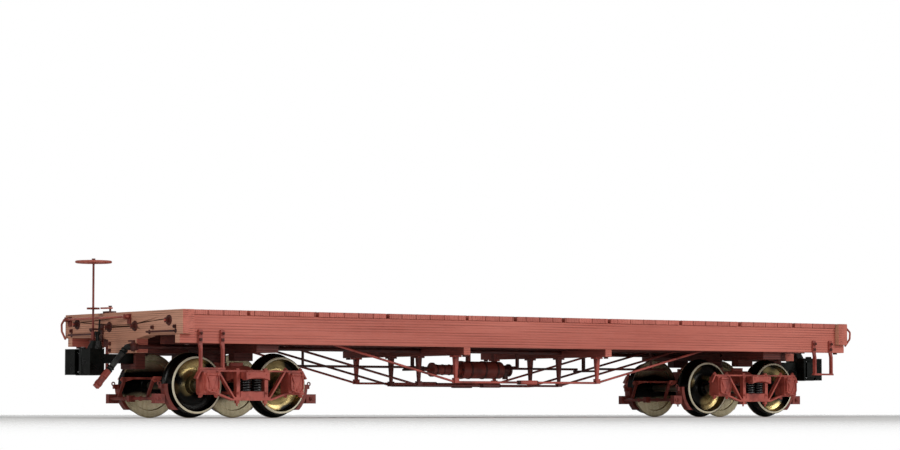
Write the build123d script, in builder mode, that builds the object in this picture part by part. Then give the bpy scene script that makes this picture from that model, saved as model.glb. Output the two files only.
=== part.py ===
"""A model of a narrow-gauge flat car with truss rods, arch-bar trucks and knuckle couplers.

The scale is 1:20.3 on 45 mm track.  Millimetres, +X along the car, +Z up.  The origin is on the
centre line of the car, midway between its ends, at the height of the lowest point of the wheel
flanges.  The brake wheel stands at the -X end, which is the "a" end; the +X end is "b".
The two ends are alike when the car is turned half a turn about +Z, apart from the hand brake.
"""

import math
import os

from build123d import *

# ---- driving dimensions -------------------------------------------------------------------

FLANGE_DEPTH = 1.8
RAIL_TOP = FLANGE_DEPTH
CAR_LENGTH = 480.5
CAR_WIDTH = 125.6
DECK_TOP = RAIL_TOP + 56.2
PLANK_THICK = 2.7
PLANK_COUNT = 48
PLANK_GAP = 0.35
END_BEAM_THICK = 7.3
END_BEAM_DEPTH = 13.2
END_BEAM_WIDTH = 131.0
SILL_WIDTH = 5.0
SILL_BOTTOM = 40.0
SIDE_SILL_Y = 59.75
CENTER_SILL_Y = 7.0
INNER_SILL_Y = 31.5
NEEDLE_X = 51.5
NEEDLE_DEPTH = 4.5
TRUCK_X = 183.1
WHEELBASE = 54.2
TREAD_R = 16.2
FLANGE_R = TREAD_R + FLANGE_DEPTH
AXLE_Z = FLANGE_R
ROD_R = 0.65
FIT = 0.05

HALF_LENGTH = CAR_LENGTH / 2
HALF_WIDTH = CAR_WIDTH / 2
BEAM_HALF_WIDTH = END_BEAM_WIDTH / 2
PLANK_BOTTOM = DECK_TOP - PLANK_THICK
BEAM_INNER_X = HALF_LENGTH - END_BEAM_THICK
BEAM_BOTTOM = DECK_TOP - END_BEAM_DEPTH
BOLSTER_BOTTOM = SILL_BOTTOM - NEEDLE_DEPTH

# Truss rods: (distance from the centre line, height at the ends, height of the low run)
OUTER_ROD = (51.0, 52.4, 20.3)
INNER_ROD = (14.2, 50.1, 18.7)
ROD_RUNS = (OUTER_ROD, INNER_ROD)

# Train pipe: it keeps to the -Y side at the a end and crosses over near the b end.
PIPE_R = 1.1
PIPE_Y = 19.0
PIPE_Z = 38.6
PIPE_END_X = 241.5
PIPE_CROSS = (70.0, 110.0)

# Coupler: pocket pivot, shank and knuckle pivot, for the b end
PIVOT_X = 233.15
SHANK_Z = (29.8, 34.9)
HEAD_Z = (23.2, 37.6)
KNUCKLE_PIVOT = (261.0, -7.0)
LOCK_XY = (255.5, 0.0)
KNUCKLE_SLOT_Z = (25.0, 35.5)
POCKET_Z = (29.6, 35.5)

# Hand brake, at the a end
STAFF_X = -246.0
STAFF_Y = 22.5
STAFF_R = 0.6
RATCHET_Z = 60.5
BRAKE_WHEEL_Z = 86.3

os.makedirs("parts", exist_ok=True)


def write(piece, name):
    """Label a finished part and write its STEP file."""
    piece.part.label = name
    export_step(piece.part, f"parts/{name}.step")


def both(value):
    """The two mirrored values of a distance from a centre line."""
    return (-value, value)


# ---- deck and frame timber ----------------------------------------------------------------

PLANK_RUN = 2 * (BEAM_INNER_X - 0.25)
PLANK_PITCH = PLANK_RUN / PLANK_COUNT
NOTCH_X = (17.5, 51.75, 106.6, 153.5, 197.7)
NOTCH_WIDTH = 2.4
NOTCH_DEPTH = 2.8

with BuildPart() as deck_planks:
    with Locations((0, 0, PLANK_BOTTOM + PLANK_THICK / 2)):
        with GridLocations(PLANK_PITCH, 0, PLANK_COUNT, 1):
            Box(PLANK_PITCH - PLANK_GAP, CAR_WIDTH, PLANK_THICK)
    for side in (-1, 1):
        for distance in NOTCH_X:
            with Locations(
                (-distance, side * HALF_WIDTH, PLANK_BOTTOM + PLANK_THICK / 2),
                (distance, side * HALF_WIDTH, PLANK_BOTTOM + PLANK_THICK / 2),
            ):
                Box(NOTCH_WIDTH, 2 * NOTCH_DEPTH, PLANK_THICK, mode=Mode.SUBTRACT)
write(deck_planks, "deck_planks")

SILL_HEIGHT = PLANK_BOTTOM - SILL_BOTTOM

with BuildPart() as side_sills:
    with Locations((0, 0, SILL_BOTTOM + SILL_HEIGHT / 2)):
        with GridLocations(0, 2 * SIDE_SILL_Y, 1, 2):
            Box(2 * BEAM_INNER_X, SILL_WIDTH, SILL_HEIGHT)
    with Locations((0, 0, (SILL_BOTTOM + BEAM_BOTTOM) / 2)):
        with GridLocations(0, 2 * SIDE_SILL_Y, 1, 2):
            Box(2 * HALF_LENGTH, SILL_WIDTH, BEAM_BOTTOM - SILL_BOTTOM)
write(side_sills, "side_sills")

with BuildPart() as center_sills:
    with Locations((0, 0, SILL_BOTTOM + SILL_HEIGHT / 2)):
        with GridLocations(0, 2 * CENTER_SILL_Y, 1, 2):
            Box(2 * BEAM_INNER_X, SILL_WIDTH, SILL_HEIGHT)
        with GridLocations(0, 2 * INNER_SILL_Y, 1, 2):
            Box(2 * BEAM_INNER_X, SILL_WIDTH, SILL_HEIGHT)
write(center_sills, "center_sills")

# The beam is deeper over the coupler: a slope on each side, then a block down to the pocket.
BEAM_SLOPE_Y = (16.0, 26.6)
BEAM_SLOPE_Z = 43.0

with BuildPart() as end_beams:
    with BuildSketch(Plane.YZ.offset(BEAM_INNER_X)):
        with BuildLine():
            Polyline(
                (-BEAM_HALF_WIDTH, BEAM_BOTTOM),
                (-BEAM_SLOPE_Y[1], BEAM_BOTTOM),
                (-BEAM_SLOPE_Y[0], BEAM_SLOPE_Z),
                (-BEAM_SLOPE_Y[0], POCKET_Z[1]),
                (BEAM_SLOPE_Y[0], POCKET_Z[1]),
                (BEAM_SLOPE_Y[0], BEAM_SLOPE_Z),
                (BEAM_SLOPE_Y[1], BEAM_BOTTOM),
                (BEAM_HALF_WIDTH, BEAM_BOTTOM),
                (BEAM_HALF_WIDTH, DECK_TOP),
                (-BEAM_HALF_WIDTH, DECK_TOP),
                close=True,
            )
        make_face()
    extrude(amount=END_BEAM_THICK)
    mirror(about=Plane.YZ)
    for distance, end_z, _ in ROD_RUNS:
        with Locations(Plane.YZ.offset(-HALF_LENGTH)):
            with Locations((-distance, end_z), (distance, end_z)):
                Cylinder(
                    ROD_R + FIT,
                    2 * CAR_LENGTH,
                    mode=Mode.SUBTRACT,
                )
write(end_beams, "end_beams")

# The draft block stands behind the end beam's drop.  The pocket under it, open in front and
# behind, holds the coupler's pin and shank.
DRAFT_HALF_WIDTH = 16.0
DRAFT_REAR = 205.0
DRAFT_BOX_HALF_WIDTH = 12.0
DRAFT_THICK = 6.0
POCKET_X = (230.4, 236.4)
POCKET_Y = (5.9, 8.3)
POCKET_FLOOR = 2.9

with BuildPart() as draft_blocks:
    with Locations((BEAM_INNER_X - DRAFT_THICK / 2, 0, (POCKET_Z[1] + SILL_BOTTOM) / 2)):
        Box(DRAFT_THICK, 2 * DRAFT_HALF_WIDTH, SILL_BOTTOM - POCKET_Z[1])
    with Locations(((DRAFT_REAR + BEAM_INNER_X) / 2, 0, (POCKET_Z[1] + SILL_BOTTOM) / 2)):
        Box(BEAM_INNER_X - DRAFT_REAR, 2 * DRAFT_BOX_HALF_WIDTH, SILL_BOTTOM - POCKET_Z[1])
    pocket_length = POCKET_X[1] - POCKET_X[0]
    for side in both(sum(POCKET_Y) / 2):
        with Locations((sum(POCKET_X) / 2, side, sum(POCKET_Z) / 2)):
            Box(pocket_length, POCKET_Y[1] - POCKET_Y[0], POCKET_Z[1] - POCKET_Z[0])
    with Locations((sum(POCKET_X) / 2, 0, POCKET_Z[0] - POCKET_FLOOR / 2)):
        Box(pocket_length, 2 * POCKET_Y[1], POCKET_FLOOR)
    mirror(about=Plane.YZ)
write(draft_blocks, "draft_blocks")

# ---- cross members ------------------------------------------------------------------------

BOLSTER_WIDTH = 14.0
CENTER_PLATE_R = 8.0
CENTER_BOSS_R = 6.0
CENTER_PLATE_Z = 31.0
CENTER_BOSS_Z = 29.6
SIDE_BEARING = (12.0, 6.0, 31.3)
KING_PIN_R = 1.5

with BuildPart() as body_bolsters:
    for x in both(TRUCK_X):
        with Locations((x, 0, (BOLSTER_BOTTOM + SILL_BOTTOM) / 2)):
            Box(BOLSTER_WIDTH, 2 * (SIDE_SILL_Y - 1.0), NEEDLE_DEPTH)
        with Locations((x, 0, (CENTER_PLATE_Z + BOLSTER_BOTTOM) / 2)):
            Cylinder(CENTER_PLATE_R, BOLSTER_BOTTOM - CENTER_PLATE_Z)
        with Locations((x, 0, (CENTER_BOSS_Z + CENTER_PLATE_Z) / 2)):
            Cylinder(CENTER_BOSS_R, CENTER_PLATE_Z - CENTER_BOSS_Z)
        for y in both(31.0):
            with Locations((x, y, (SIDE_BEARING[2] + BOLSTER_BOTTOM) / 2)):
                Box(SIDE_BEARING[0], SIDE_BEARING[1], BOLSTER_BOTTOM - SIDE_BEARING[2])
        with Locations((x, 0, BOLSTER_BOTTOM)):
            Cylinder(KING_PIN_R, 40.0, mode=Mode.SUBTRACT)
        with Locations((x, -PIPE_Y, PIPE_Z), (x, PIPE_Y, PIPE_Z)):
            Cylinder(PIPE_R + FIT, 2 * BOLSTER_WIDTH, rotation=(0, 90, 0), mode=Mode.SUBTRACT)
write(body_bolsters, "body_bolsters")

NEEDLE_WIDTH = 4.7

with BuildPart() as needle_beams:
    with Locations((0, 0, (BOLSTER_BOTTOM + SILL_BOTTOM) / 2)):
        with GridLocations(2 * NEEDLE_X, 0, 2, 1):
            Box(NEEDLE_WIDTH, 2 * SIDE_SILL_Y + SILL_WIDTH, NEEDLE_DEPTH)
    with Locations((0, -PIPE_Y, PIPE_Z)):
        Cylinder(PIPE_R + FIT, 2 * CAR_LENGTH, rotation=(0, 90, 0), mode=Mode.SUBTRACT)
write(needle_beams, "needle_beams")

POST_FOOT_DROP = 0.5
POST_BASE = 5.0

with BuildPart() as queen_posts:
    for distance, _, low_z in ROD_RUNS:
        for x in both(NEEDLE_X):
            for y in both(distance):
                with BuildSketch(Plane((x, y, BOLSTER_BOTTOM - 1.0))):
                    Rectangle(2.8, 2.8)
                with BuildSketch(Plane((x, y, low_z + 2.4))):
                    Circle(1.1)
                loft()
                with Locations((x, y, BOLSTER_BOTTOM - 0.5)):
                    Box(POST_BASE, POST_BASE, 1.0)
                with Locations((x, y, low_z + (2.4 - POST_FOOT_DROP) / 2)):
                    Box(3.0, 3.0, 2.4 + POST_FOOT_DROP)
                with Locations((x, y, low_z)):
                    Box(6.0, 2 * ROD_R + 0.2, 2.1, mode=Mode.SUBTRACT)
write(queen_posts, "queen_posts")

# ---- truss rods ---------------------------------------------------------------------------

ROD_END_X = HALF_LENGTH + 3.0
ROD_BEND_R = 12.0
BUCKLE_LENGTH = 12.0
BUCKLE_SLOT = 7.0

with BuildPart() as truss_rods:
    for distance, end_z, low_z in ROD_RUNS:
        for y in both(distance):
            with BuildLine(Plane.XZ.offset(-y)) as rod_line:
                FilletPolyline(
                    (-ROD_END_X, end_z),
                    (-TRUCK_X, end_z),
                    (-NEEDLE_X, low_z),
                    (NEEDLE_X, low_z),
                    (TRUCK_X, end_z),
                    (ROD_END_X, end_z),
                    radius=ROD_BEND_R,
                )
            with BuildSketch(Plane(origin=rod_line.line @ 0, z_dir=rod_line.line % 0)):
                Circle(ROD_R)
            sweep(path=rod_line.line)
            with Locations((0, y, low_z)):
                Box(BUCKLE_SLOT - 3.0, 4.0, 4.0, mode=Mode.SUBTRACT)
write(truss_rods, "truss_rods")

with BuildPart() as turnbuckles:
    for distance, _, low_z in ROD_RUNS:
        for y in both(distance):
            with Locations((0, y, low_z)):
                Box(BUCKLE_LENGTH, 3.4, 2.4)
                Box(BUCKLE_SLOT, 1.8, 4.0, mode=Mode.SUBTRACT)
                Cylinder(
                    ROD_R + FIT, 2 * BUCKLE_LENGTH, rotation=(0, 90, 0), mode=Mode.SUBTRACT
                )
    chamfer(turnbuckles.edges().filter_by(Axis.X).filter_by(lambda e: e.length > 11.0), 0.5)
write(turnbuckles, "turnbuckles")

WASHER_R = 2.5
WASHER_THICK = 0.8
NUT_SIZE = 2.6
NUT_THICK = 1.5

# ---- hardware on the ends and corners -----------------------------------------------------

BOLT_NUT = 1.9
BOLT_OUT = 1.1
END_BOLTS = ((33.8, 48.9), (57.6, 48.9))
STRIKER_BOLTS = ((13.4, 40.9), (13.4, 37.2))
BOLT_END = (0.5, 0.5)
SILL_NUT_THICK = 1.0

with BuildPart() as nuts_and_washers:
    # a washer and a nut on each truss rod's end
    for distance, end_z, _ in ROD_RUNS:
        for y in both(distance):
            with Locations((HALF_LENGTH + WASHER_THICK / 2, y, end_z)):
                Cylinder(WASHER_R, WASHER_THICK, rotation=(0, 90, 0))
            with Locations((HALF_LENGTH + WASHER_THICK + NUT_THICK / 2, y, end_z)):
                Box(NUT_THICK, NUT_SIZE, NUT_SIZE)
            with Locations((HALF_LENGTH, y, end_z)):
                Cylinder(ROD_R + FIT, 20.0, rotation=(0, 90, 0), mode=Mode.SUBTRACT)
    # square nuts of the frame bolts, each with its bolt's end
    for y, z in END_BOLTS + STRIKER_BOLTS:
        for side in both(y):
            with Locations((HALF_LENGTH + BOLT_OUT / 2, side, z)):
                Box(BOLT_OUT, BOLT_NUT, BOLT_NUT)
            with Locations((HALF_LENGTH + BOLT_OUT + BOLT_END[1] / 2, side, z)):
                Cylinder(*BOLT_END, rotation=(0, 90, 0))
    for y in both(SIDE_SILL_Y):
        with Locations((NEEDLE_X, y, BOLSTER_BOTTOM - SILL_NUT_THICK / 2)):
            Box(BOLT_NUT, BOLT_NUT, SILL_NUT_THICK)
        with Locations((BEAM_INNER_X + BOLT_NUT, y, SILL_BOTTOM - SILL_NUT_THICK / 2)):
            Box(BOLT_NUT, BOLT_NUT, SILL_NUT_THICK)
    mirror(about=Plane.YZ)
write(nuts_and_washers, "nuts_and_washers")

GRAB_Y = (30.0, 58.0)
GRAB_Z = 46.5
GRAB_OUT = 2.4
GRAB_R = 0.55

with BuildPart() as grab_irons:
    for side in (-1, 1):
        with BuildLine() as grab_line:
            FilletPolyline(
                (HALF_LENGTH, side * GRAB_Y[0], GRAB_Z),
                (HALF_LENGTH + GRAB_OUT, side * GRAB_Y[0], GRAB_Z),
                (HALF_LENGTH + GRAB_OUT, side * GRAB_Y[1], GRAB_Z),
                (HALF_LENGTH, side * GRAB_Y[1], GRAB_Z),
                radius=1.2,
            )
        with BuildSketch(Plane(origin=grab_line.line @ 0, z_dir=grab_line.line % 0)):
            Circle(GRAB_R)
        sweep(path=grab_line.line)
    mirror(about=Plane.YZ)
write(grab_irons, "grab_irons")

STEP_X = (213.1, 229.2)
STEP_BOTTOM = 25.9
STEP_TOP = 47.3
STEP_Y = SIDE_SILL_Y + SILL_WIDTH / 2
STEP_BAR = 2.4
STEP_THICK = 1.1
STEP_TWIST = 3.0
STEP_NUT = (1.6, 0.8, 1.6)
STEP_NUT_DROP = 2.0

with BuildPart() as step_irons:
    for x in (STEP_X[0] + STEP_BAR / 2, STEP_X[1] - STEP_BAR / 2):
        with Locations((x, STEP_Y + STEP_THICK / 2, (STEP_TOP + SILL_BOTTOM) / 2)):
            Box(STEP_BAR, STEP_THICK, STEP_TOP - SILL_BOTTOM)
        with Locations((x, STEP_Y + STEP_THICK + STEP_NUT[1] / 2, STEP_TOP - STEP_NUT_DROP)):
            Box(*STEP_NUT)
        # the bar turns a quarter below the sill
        with BuildSketch(Plane((x, STEP_Y + STEP_THICK / 2, SILL_BOTTOM))):
            Rectangle(STEP_BAR, STEP_THICK)
        with BuildSketch(Plane((x, STEP_Y + STEP_BAR / 2, SILL_BOTTOM - STEP_TWIST))):
            Rectangle(STEP_THICK, STEP_BAR)
        loft()
        with Locations((x, STEP_Y + STEP_BAR / 2, (SILL_BOTTOM - STEP_TWIST + STEP_BOTTOM) / 2)):
            Box(STEP_THICK, STEP_BAR, SILL_BOTTOM - STEP_TWIST - STEP_BOTTOM)
    with Locations((sum(STEP_X) / 2, STEP_Y + STEP_BAR / 2, STEP_BOTTOM + STEP_THICK / 2)):
        Box(STEP_X[1] - STEP_X[0], STEP_BAR, STEP_THICK)
    mirror(about=Plane.YZ)
    mirror(about=Plane.XZ)
write(step_irons, "step_irons")

# ---- air brake under the centre -----------------------------------------------------------

TANK_Y = -6.0
TANK_Z = 28.0
RESERVOIR_X = (-14.7, 14.0)
CYLINDER_X = (-37.0, -14.7)
RESERVOIR_R = 5.1
STRAP_X = (-10.0, 9.0)
CYLINDER_R = 3.0
CYLINDER_HEAD = (5.4, 1.6)
CYLINDER_CAP = (4.2, 1.4)
PISTON_ROD = (0.9, 6.0)

with BuildPart() as air_reservoir:
    with Locations((sum(RESERVOIR_X) / 2, TANK_Y, TANK_Z)):
        Cylinder(RESERVOIR_R, RESERVOIR_X[1] - RESERVOIR_X[0], rotation=(0, 90, 0))
    fillet(air_reservoir.edges().sort_by(Axis.X)[-1], 1.2)
    for x in STRAP_X:
        with Locations((x, TANK_Y, (TANK_Z + SILL_BOTTOM) / 2)):
            Box(1.6, 3.0, SILL_BOTTOM - TANK_Z)
write(air_reservoir, "air_reservoir")

with BuildPart() as brake_cylinder:
    with Locations(((CYLINDER_X[0] + CYLINDER_X[1]) / 2, TANK_Y, TANK_Z)):
        Cylinder(CYLINDER_R, CYLINDER_X[1] - CYLINDER_X[0], rotation=(0, 90, 0))
    with Locations((CYLINDER_X[1] - CYLINDER_HEAD[1] / 2, TANK_Y, TANK_Z)):
        Cylinder(*CYLINDER_HEAD, rotation=(0, 90, 0))
    with Locations((CYLINDER_X[0] + CYLINDER_CAP[1] / 2, TANK_Y, TANK_Z)):
        Cylinder(*CYLINDER_CAP, rotation=(0, 90, 0))
    with Locations((CYLINDER_X[0] - PISTON_ROD[1] / 2, TANK_Y, TANK_Z)):
        Cylinder(*PISTON_ROD, rotation=(0, 90, 0))
write(brake_cylinder, "brake_cylinder")

# The valve on the reservoir's end: its body, its cover, its drain cup and its pipe
VALVE_BODY = (3.0, 5.2)
VALVE_COVER = (3.8, 1.0)
VALVE_CUP = (1.7, 4.0)
VALVE_CUP_DROP = 3.4
VALVE_X = RESERVOIR_X[1] + VALVE_BODY[1] / 2
BRANCH_BAR = 1.6
BRANCH_Z = TANK_Z + 1.5

with BuildPart() as triple_valve:
    with Locations((VALVE_X, TANK_Y, TANK_Z)):
        Cylinder(*VALVE_BODY, rotation=(0, 90, 0))
    with Locations((RESERVOIR_X[1] + VALVE_BODY[1] + VALVE_COVER[1] / 2, TANK_Y, TANK_Z)):
        Cylinder(*VALVE_COVER, rotation=(0, 90, 0))
    with Locations((VALVE_X, TANK_Y - 1.0, TANK_Z - VALVE_CUP_DROP)):
        Cylinder(*VALVE_CUP)
    with Locations((VALVE_X, (TANK_Y - PIPE_Y - BRANCH_BAR / 2) / 2, BRANCH_Z)):
        Box(BRANCH_BAR, PIPE_Y + TANK_Y + BRANCH_BAR / 2, BRANCH_BAR)
    with Locations((VALVE_X, -PIPE_Y, (BRANCH_Z + PIPE_Z - PIPE_R) / 2)):
        Box(BRANCH_BAR, BRANCH_BAR, PIPE_Z - PIPE_R - BRANCH_Z)
write(triple_valve, "triple_valve")

# Foundation brake gear: a lever at the cylinder, a lever beyond the reservoir and their rods
CYLINDER_LEVER_X = CYLINDER_X[0] - PISTON_ROD[1] - 1.0
FAR_LEVER_X = 84.0
LEVER_BAR = (2.0, 22.0, 1.2)
LEVER_Y = 1.0
STRAP_Y = 3.0
STRAP_BAR = (2.0, 1.2)
STRAP_FOOT = (2.0, 7.0, 1.0)
PULL_ROD_R = 0.7
PULL_ROD_Y = (10.5, -8.5)
PULL_ROD_END = 139.0
PULL_Z = TANK_Z + 1.3
GUIDE_X = 128.0
GUIDE_BAR = (1.2, 1.0)

with BuildPart() as brake_rigging:
    for x in (CYLINDER_LEVER_X, FAR_LEVER_X):
        with Locations((x, LEVER_Y, TANK_Z)):
            Box(*LEVER_BAR)
        # hanger strap from the frame
        with Locations((x, STRAP_Y, (TANK_Z + SILL_BOTTOM) / 2)):
            Box(*STRAP_BAR, SILL_BOTTOM - TANK_Z)
        with Locations((x, (STRAP_Y + CENTER_SILL_Y) / 2 + 1.0, SILL_BOTTOM - STRAP_FOOT[2] / 2)):
            Box(*STRAP_FOOT)
    # pull rod between the two levers and one towards each truck, each on top of a lever end
    with Locations(((CYLINDER_LEVER_X + FAR_LEVER_X) / 2, PULL_ROD_Y[0], PULL_Z)):
        Cylinder(PULL_ROD_R, FAR_LEVER_X - CYLINDER_LEVER_X + 2.0, rotation=(0, 90, 0))
    for lever_x, rod_end in (
        (CYLINDER_LEVER_X, -PULL_ROD_END),
        (FAR_LEVER_X, PULL_ROD_END),
    ):
        with Locations(((lever_x + rod_end) / 2, PULL_ROD_Y[1], PULL_Z)):
            Cylinder(PULL_ROD_R, abs(rod_end - lever_x), rotation=(0, 90, 0))
    for x in both(GUIDE_X):
        with Locations((x, PULL_ROD_Y[1], (PULL_Z + SILL_BOTTOM) / 2)):
            Box(*GUIDE_BAR, SILL_BOTTOM - PULL_Z)
write(brake_rigging, "brake_rigging")

# An angle cock closes each end of the pipe: a ball and a sleeve, a spindle and a handle
COCK_SLEEVE = (1.9, 5.0)
COCK_BALL_R = 2.4
COCK_SPINDLE = (0.8, 2.4)
COCK_HANDLE = (1.4, 5.4, 0.8)

with BuildPart() as train_pipe:
    with BuildLine() as pipe_line:
        FilletPolyline(
            (-PIPE_END_X, -PIPE_Y, PIPE_Z),
            (PIPE_CROSS[0], -PIPE_Y, PIPE_Z),
            (PIPE_CROSS[1], PIPE_Y, PIPE_Z),
            (PIPE_END_X, PIPE_Y, PIPE_Z),
            radius=8.0,
        )
    with BuildSketch(Plane(origin=pipe_line.line @ 0, z_dir=pipe_line.line % 0)):
        Circle(PIPE_R)
    sweep(path=pipe_line.line)
    for way in (-1, 1):
        cock_x = way * (PIPE_END_X + COCK_SLEEVE[1] / 2)
        with Locations((cock_x, way * PIPE_Y, PIPE_Z)):
            Cylinder(*COCK_SLEEVE, rotation=(0, 90, 0))
            Sphere(COCK_BALL_R)
        with Locations((cock_x, way * PIPE_Y, PIPE_Z + COCK_BALL_R)):
            Cylinder(*COCK_SPINDLE)
        handle_z = PIPE_Z + COCK_BALL_R + COCK_HANDLE[2]
        with Locations((cock_x, way * (PIPE_Y - COCK_HANDLE[1] / 2 + COCK_SPINDLE[0]), handle_z)):
            Box(*COCK_HANDLE)
write(train_pipe, "train_pipe")

HOSE_R = 1.6
HOSE_START = PIPE_END_X + COCK_SLEEVE[1]
HOSE_END = (259.3, 25.4)

with BuildPart() as air_hoses:
    with BuildLine(Plane.XZ.offset(-PIPE_Y)) as hose_line:
        FilletPolyline(
            (HOSE_START, PIPE_Z),
            (HOSE_START + 1.3, PIPE_Z),
            HOSE_END,
            radius=1.7,
        )
    with BuildSketch(Plane(origin=hose_line.line @ 0, z_dir=hose_line.line % 0)):
        Circle(HOSE_R)
    sweep(path=hose_line.line)
    hose_tail = hose_line.line % 1
    add(air_hoses.part.rotate(Axis.Z, 180))
write(air_hoses, "air_hoses")

GLAD_HAND = Plane(origin=(HOSE_END[0], PIPE_Y, HOSE_END[1]), z_dir=hose_tail, x_dir=(0, 1, 0))

GLAD_COLLAR = (1.95, 4.5)
GLAD_BODY = (2.6, 3.0, 7.0)
GLAD_FACE = (2.1, 1.8)

with BuildPart() as glad_hands:
    with BuildSketch(GLAD_HAND):
        Circle(GLAD_COLLAR[0])
    extrude(amount=GLAD_COLLAR[1])
    with BuildSketch(GLAD_HAND.offset(GLAD_COLLAR[1])):
        Rectangle(GLAD_BODY[0], GLAD_BODY[1])
    extrude(amount=GLAD_BODY[2])
    with BuildSketch(GLAD_HAND.offset(GLAD_COLLAR[1] + GLAD_BODY[2] / 2)):
        Circle(GLAD_FACE[0])
    extrude(amount=GLAD_FACE[1])
    add(glad_hands.part.rotate(Axis.Z, 180))
write(glad_hands, "glad_hands")

# ---- uncoupling levers and the hand brake's fixed pieces ----------------------------------

LEVER_AXIS_X = HALF_LENGTH + 2.6
LEVER_AXIS_Z = 55.3
CUT_R = 0.6
CUT_BRACKET_Y = (-59.3, 8.4)
CUT_PLATE = (0.8, 3.4, 5.4)
CUT_PLATE_DROP = 1.2
CUT_EYE = (2.8, 1.6, 2.6)

with BuildPart() as lever_brackets:
    for y in CUT_BRACKET_Y:
        with Locations((HALF_LENGTH + CUT_PLATE[0] / 2, y, LEVER_AXIS_Z - CUT_PLATE_DROP)):
            Box(*CUT_PLATE)
        with Locations((HALF_LENGTH + CUT_PLATE[0] + CUT_EYE[0] / 2, y, LEVER_AXIS_Z)):
            Box(*CUT_EYE)
        with Locations((LEVER_AXIS_X, y, LEVER_AXIS_Z)):
            Cylinder(CUT_R + FIT, 10.0, rotation=(90, 0, 0), mode=Mode.SUBTRACT)
    add(lever_brackets.part.rotate(Axis.Z, 180))
write(lever_brackets, "lever_brackets")

PAWL_PIVOT = (-HALF_LENGTH + 1.4, STAFF_Y - 6.4)
PAWL_TIP = (-241.45, STAFF_Y - 0.33)
UPPER_BRACKET = (7.2, 3.6, 1.0)
UPPER_BRACKET_Z = 49.0
UPPER_PLATE = (0.8, 3.6, 5.4)
STIRRUP = (7.6, 2.6, 1.0)
STIRRUP_Z = 42.4
STIRRUP_PLATE = (0.8, 2.6, 4.0)
PAWL_PLATE = (4.6, 7.0, 1.0)
PAWL_PIN = (0.6, 2.4)
PAWL_PIN_HEAD = (1.0, 0.6)

with BuildPart() as staff_brackets:
    # upper bracket on the end beam's face and the stirrup that carries the staff's foot
    with Locations((-HALF_LENGTH - UPPER_BRACKET[0] / 2, STAFF_Y, UPPER_BRACKET_Z)):
        Box(*UPPER_BRACKET)
    with Locations((-HALF_LENGTH - UPPER_PLATE[0] / 2, STAFF_Y, UPPER_BRACKET_Z)):
        Box(*UPPER_PLATE)
    with Locations((-HALF_LENGTH - STIRRUP[0] / 2, STAFF_Y, STIRRUP_Z)):
        Box(*STIRRUP)
    stirrup_plate_z = STIRRUP_Z - STIRRUP[2] / 2 + STIRRUP_PLATE[2] / 2
    with Locations((-HALF_LENGTH - STIRRUP_PLATE[0] / 2, STAFF_Y, stirrup_plate_z)):
        Box(*STIRRUP_PLATE)
    with Locations((STAFF_X, STAFF_Y, (STIRRUP_Z + UPPER_BRACKET_Z) / 2)):
        Cylinder(STAFF_R + FIT, 30.0, mode=Mode.SUBTRACT)
    # pawl plate on top of the end beam
    with Locations((-HALF_LENGTH + PAWL_PLATE[0] / 2, STAFF_Y - 4.0, DECK_TOP + PAWL_PLATE[2] / 2)):
        Box(*PAWL_PLATE)
    pawl_pin_z = DECK_TOP + PAWL_PLATE[2]
    with Locations((*PAWL_PIVOT, pawl_pin_z + PAWL_PIN[1] / 2)):
        Cylinder(*PAWL_PIN)
    with Locations((*PAWL_PIVOT, pawl_pin_z + PAWL_PIN[1] + PAWL_PIN_HEAD[1] / 2)):
        Cylinder(*PAWL_PIN_HEAD)
write(staff_brackets, "staff_brackets")

CHAIN_LINK = (0.95, 0.25)
CHAIN_START = (STAFF_X + 0.4, STAFF_Y - 2.4, 46.6)
CHAIN_WAY = Vector(0.40, -0.11, -0.91).normalized()
CHAIN_PITCH = 1.33
CHAIN_LINKS = 8

with BuildPart() as brake_chain:
    flat_axis = CHAIN_WAY.cross(Vector(0, 1, 0)).normalized()
    for link in range(CHAIN_LINKS):
        spot = Vector(*CHAIN_START) + CHAIN_WAY * (link * CHAIN_PITCH)
        link_axis = CHAIN_WAY.cross(flat_axis) if link % 2 else flat_axis
        with Locations(Plane(origin=spot, z_dir=link_axis)):
            Torus(*CHAIN_LINK)
write(brake_chain, "brake_chain")

KING_PIN_Z = 32.0
KING_PIN_LENGTH = 16.0

with BuildPart() as pivot_pins:
    for x in both(PIVOT_X):
        with Locations((x, 0, sum(POCKET_Z) / 2)):
            Cylinder(KING_PIN_R, POCKET_Z[1] - POCKET_Z[0])
    for x in both(TRUCK_X):
        with Locations((x, 0, KING_PIN_Z)):
            Cylinder(KING_PIN_R, KING_PIN_LENGTH)
write(pivot_pins, "pivot_pins")

# ---- hand brake, moving -------------------------------------------------------------------

STAFF_FOOT = 41.6
CHAIN_DRUM = (1.0, 4.0)
CHAIN_DRUM_Z = 45.6
STAFF_NUT = (1.0, 0.8)
WHEEL_HUB = (1.7, 2.2)

with BuildPart() as brake_staff:
    with Locations((STAFF_X, STAFF_Y, (STAFF_FOOT + BRAKE_WHEEL_Z) / 2)):
        Cylinder(STAFF_R, BRAKE_WHEEL_Z - STAFF_FOOT)
    with Locations((STAFF_X, STAFF_Y, CHAIN_DRUM_Z)):
        Cylinder(*CHAIN_DRUM)
    with Locations((STAFF_X, STAFF_Y, BRAKE_WHEEL_Z + WHEEL_HUB[1] / 4)):
        Cylinder(STAFF_R, WHEEL_HUB[1] / 2 + STAFF_NUT[1])
    with Locations((STAFF_X, STAFF_Y, BRAKE_WHEEL_Z + WHEEL_HUB[1] / 2 + STAFF_NUT[1] / 2)):
        Cylinder(*STAFF_NUT)
write(brake_staff, "brake_staff")

WHEEL_RIM_R = 9.5
RIM_R = 0.7
SPOKES = 5
SPOKE_BAR = (1.1, 0.8)

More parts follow.
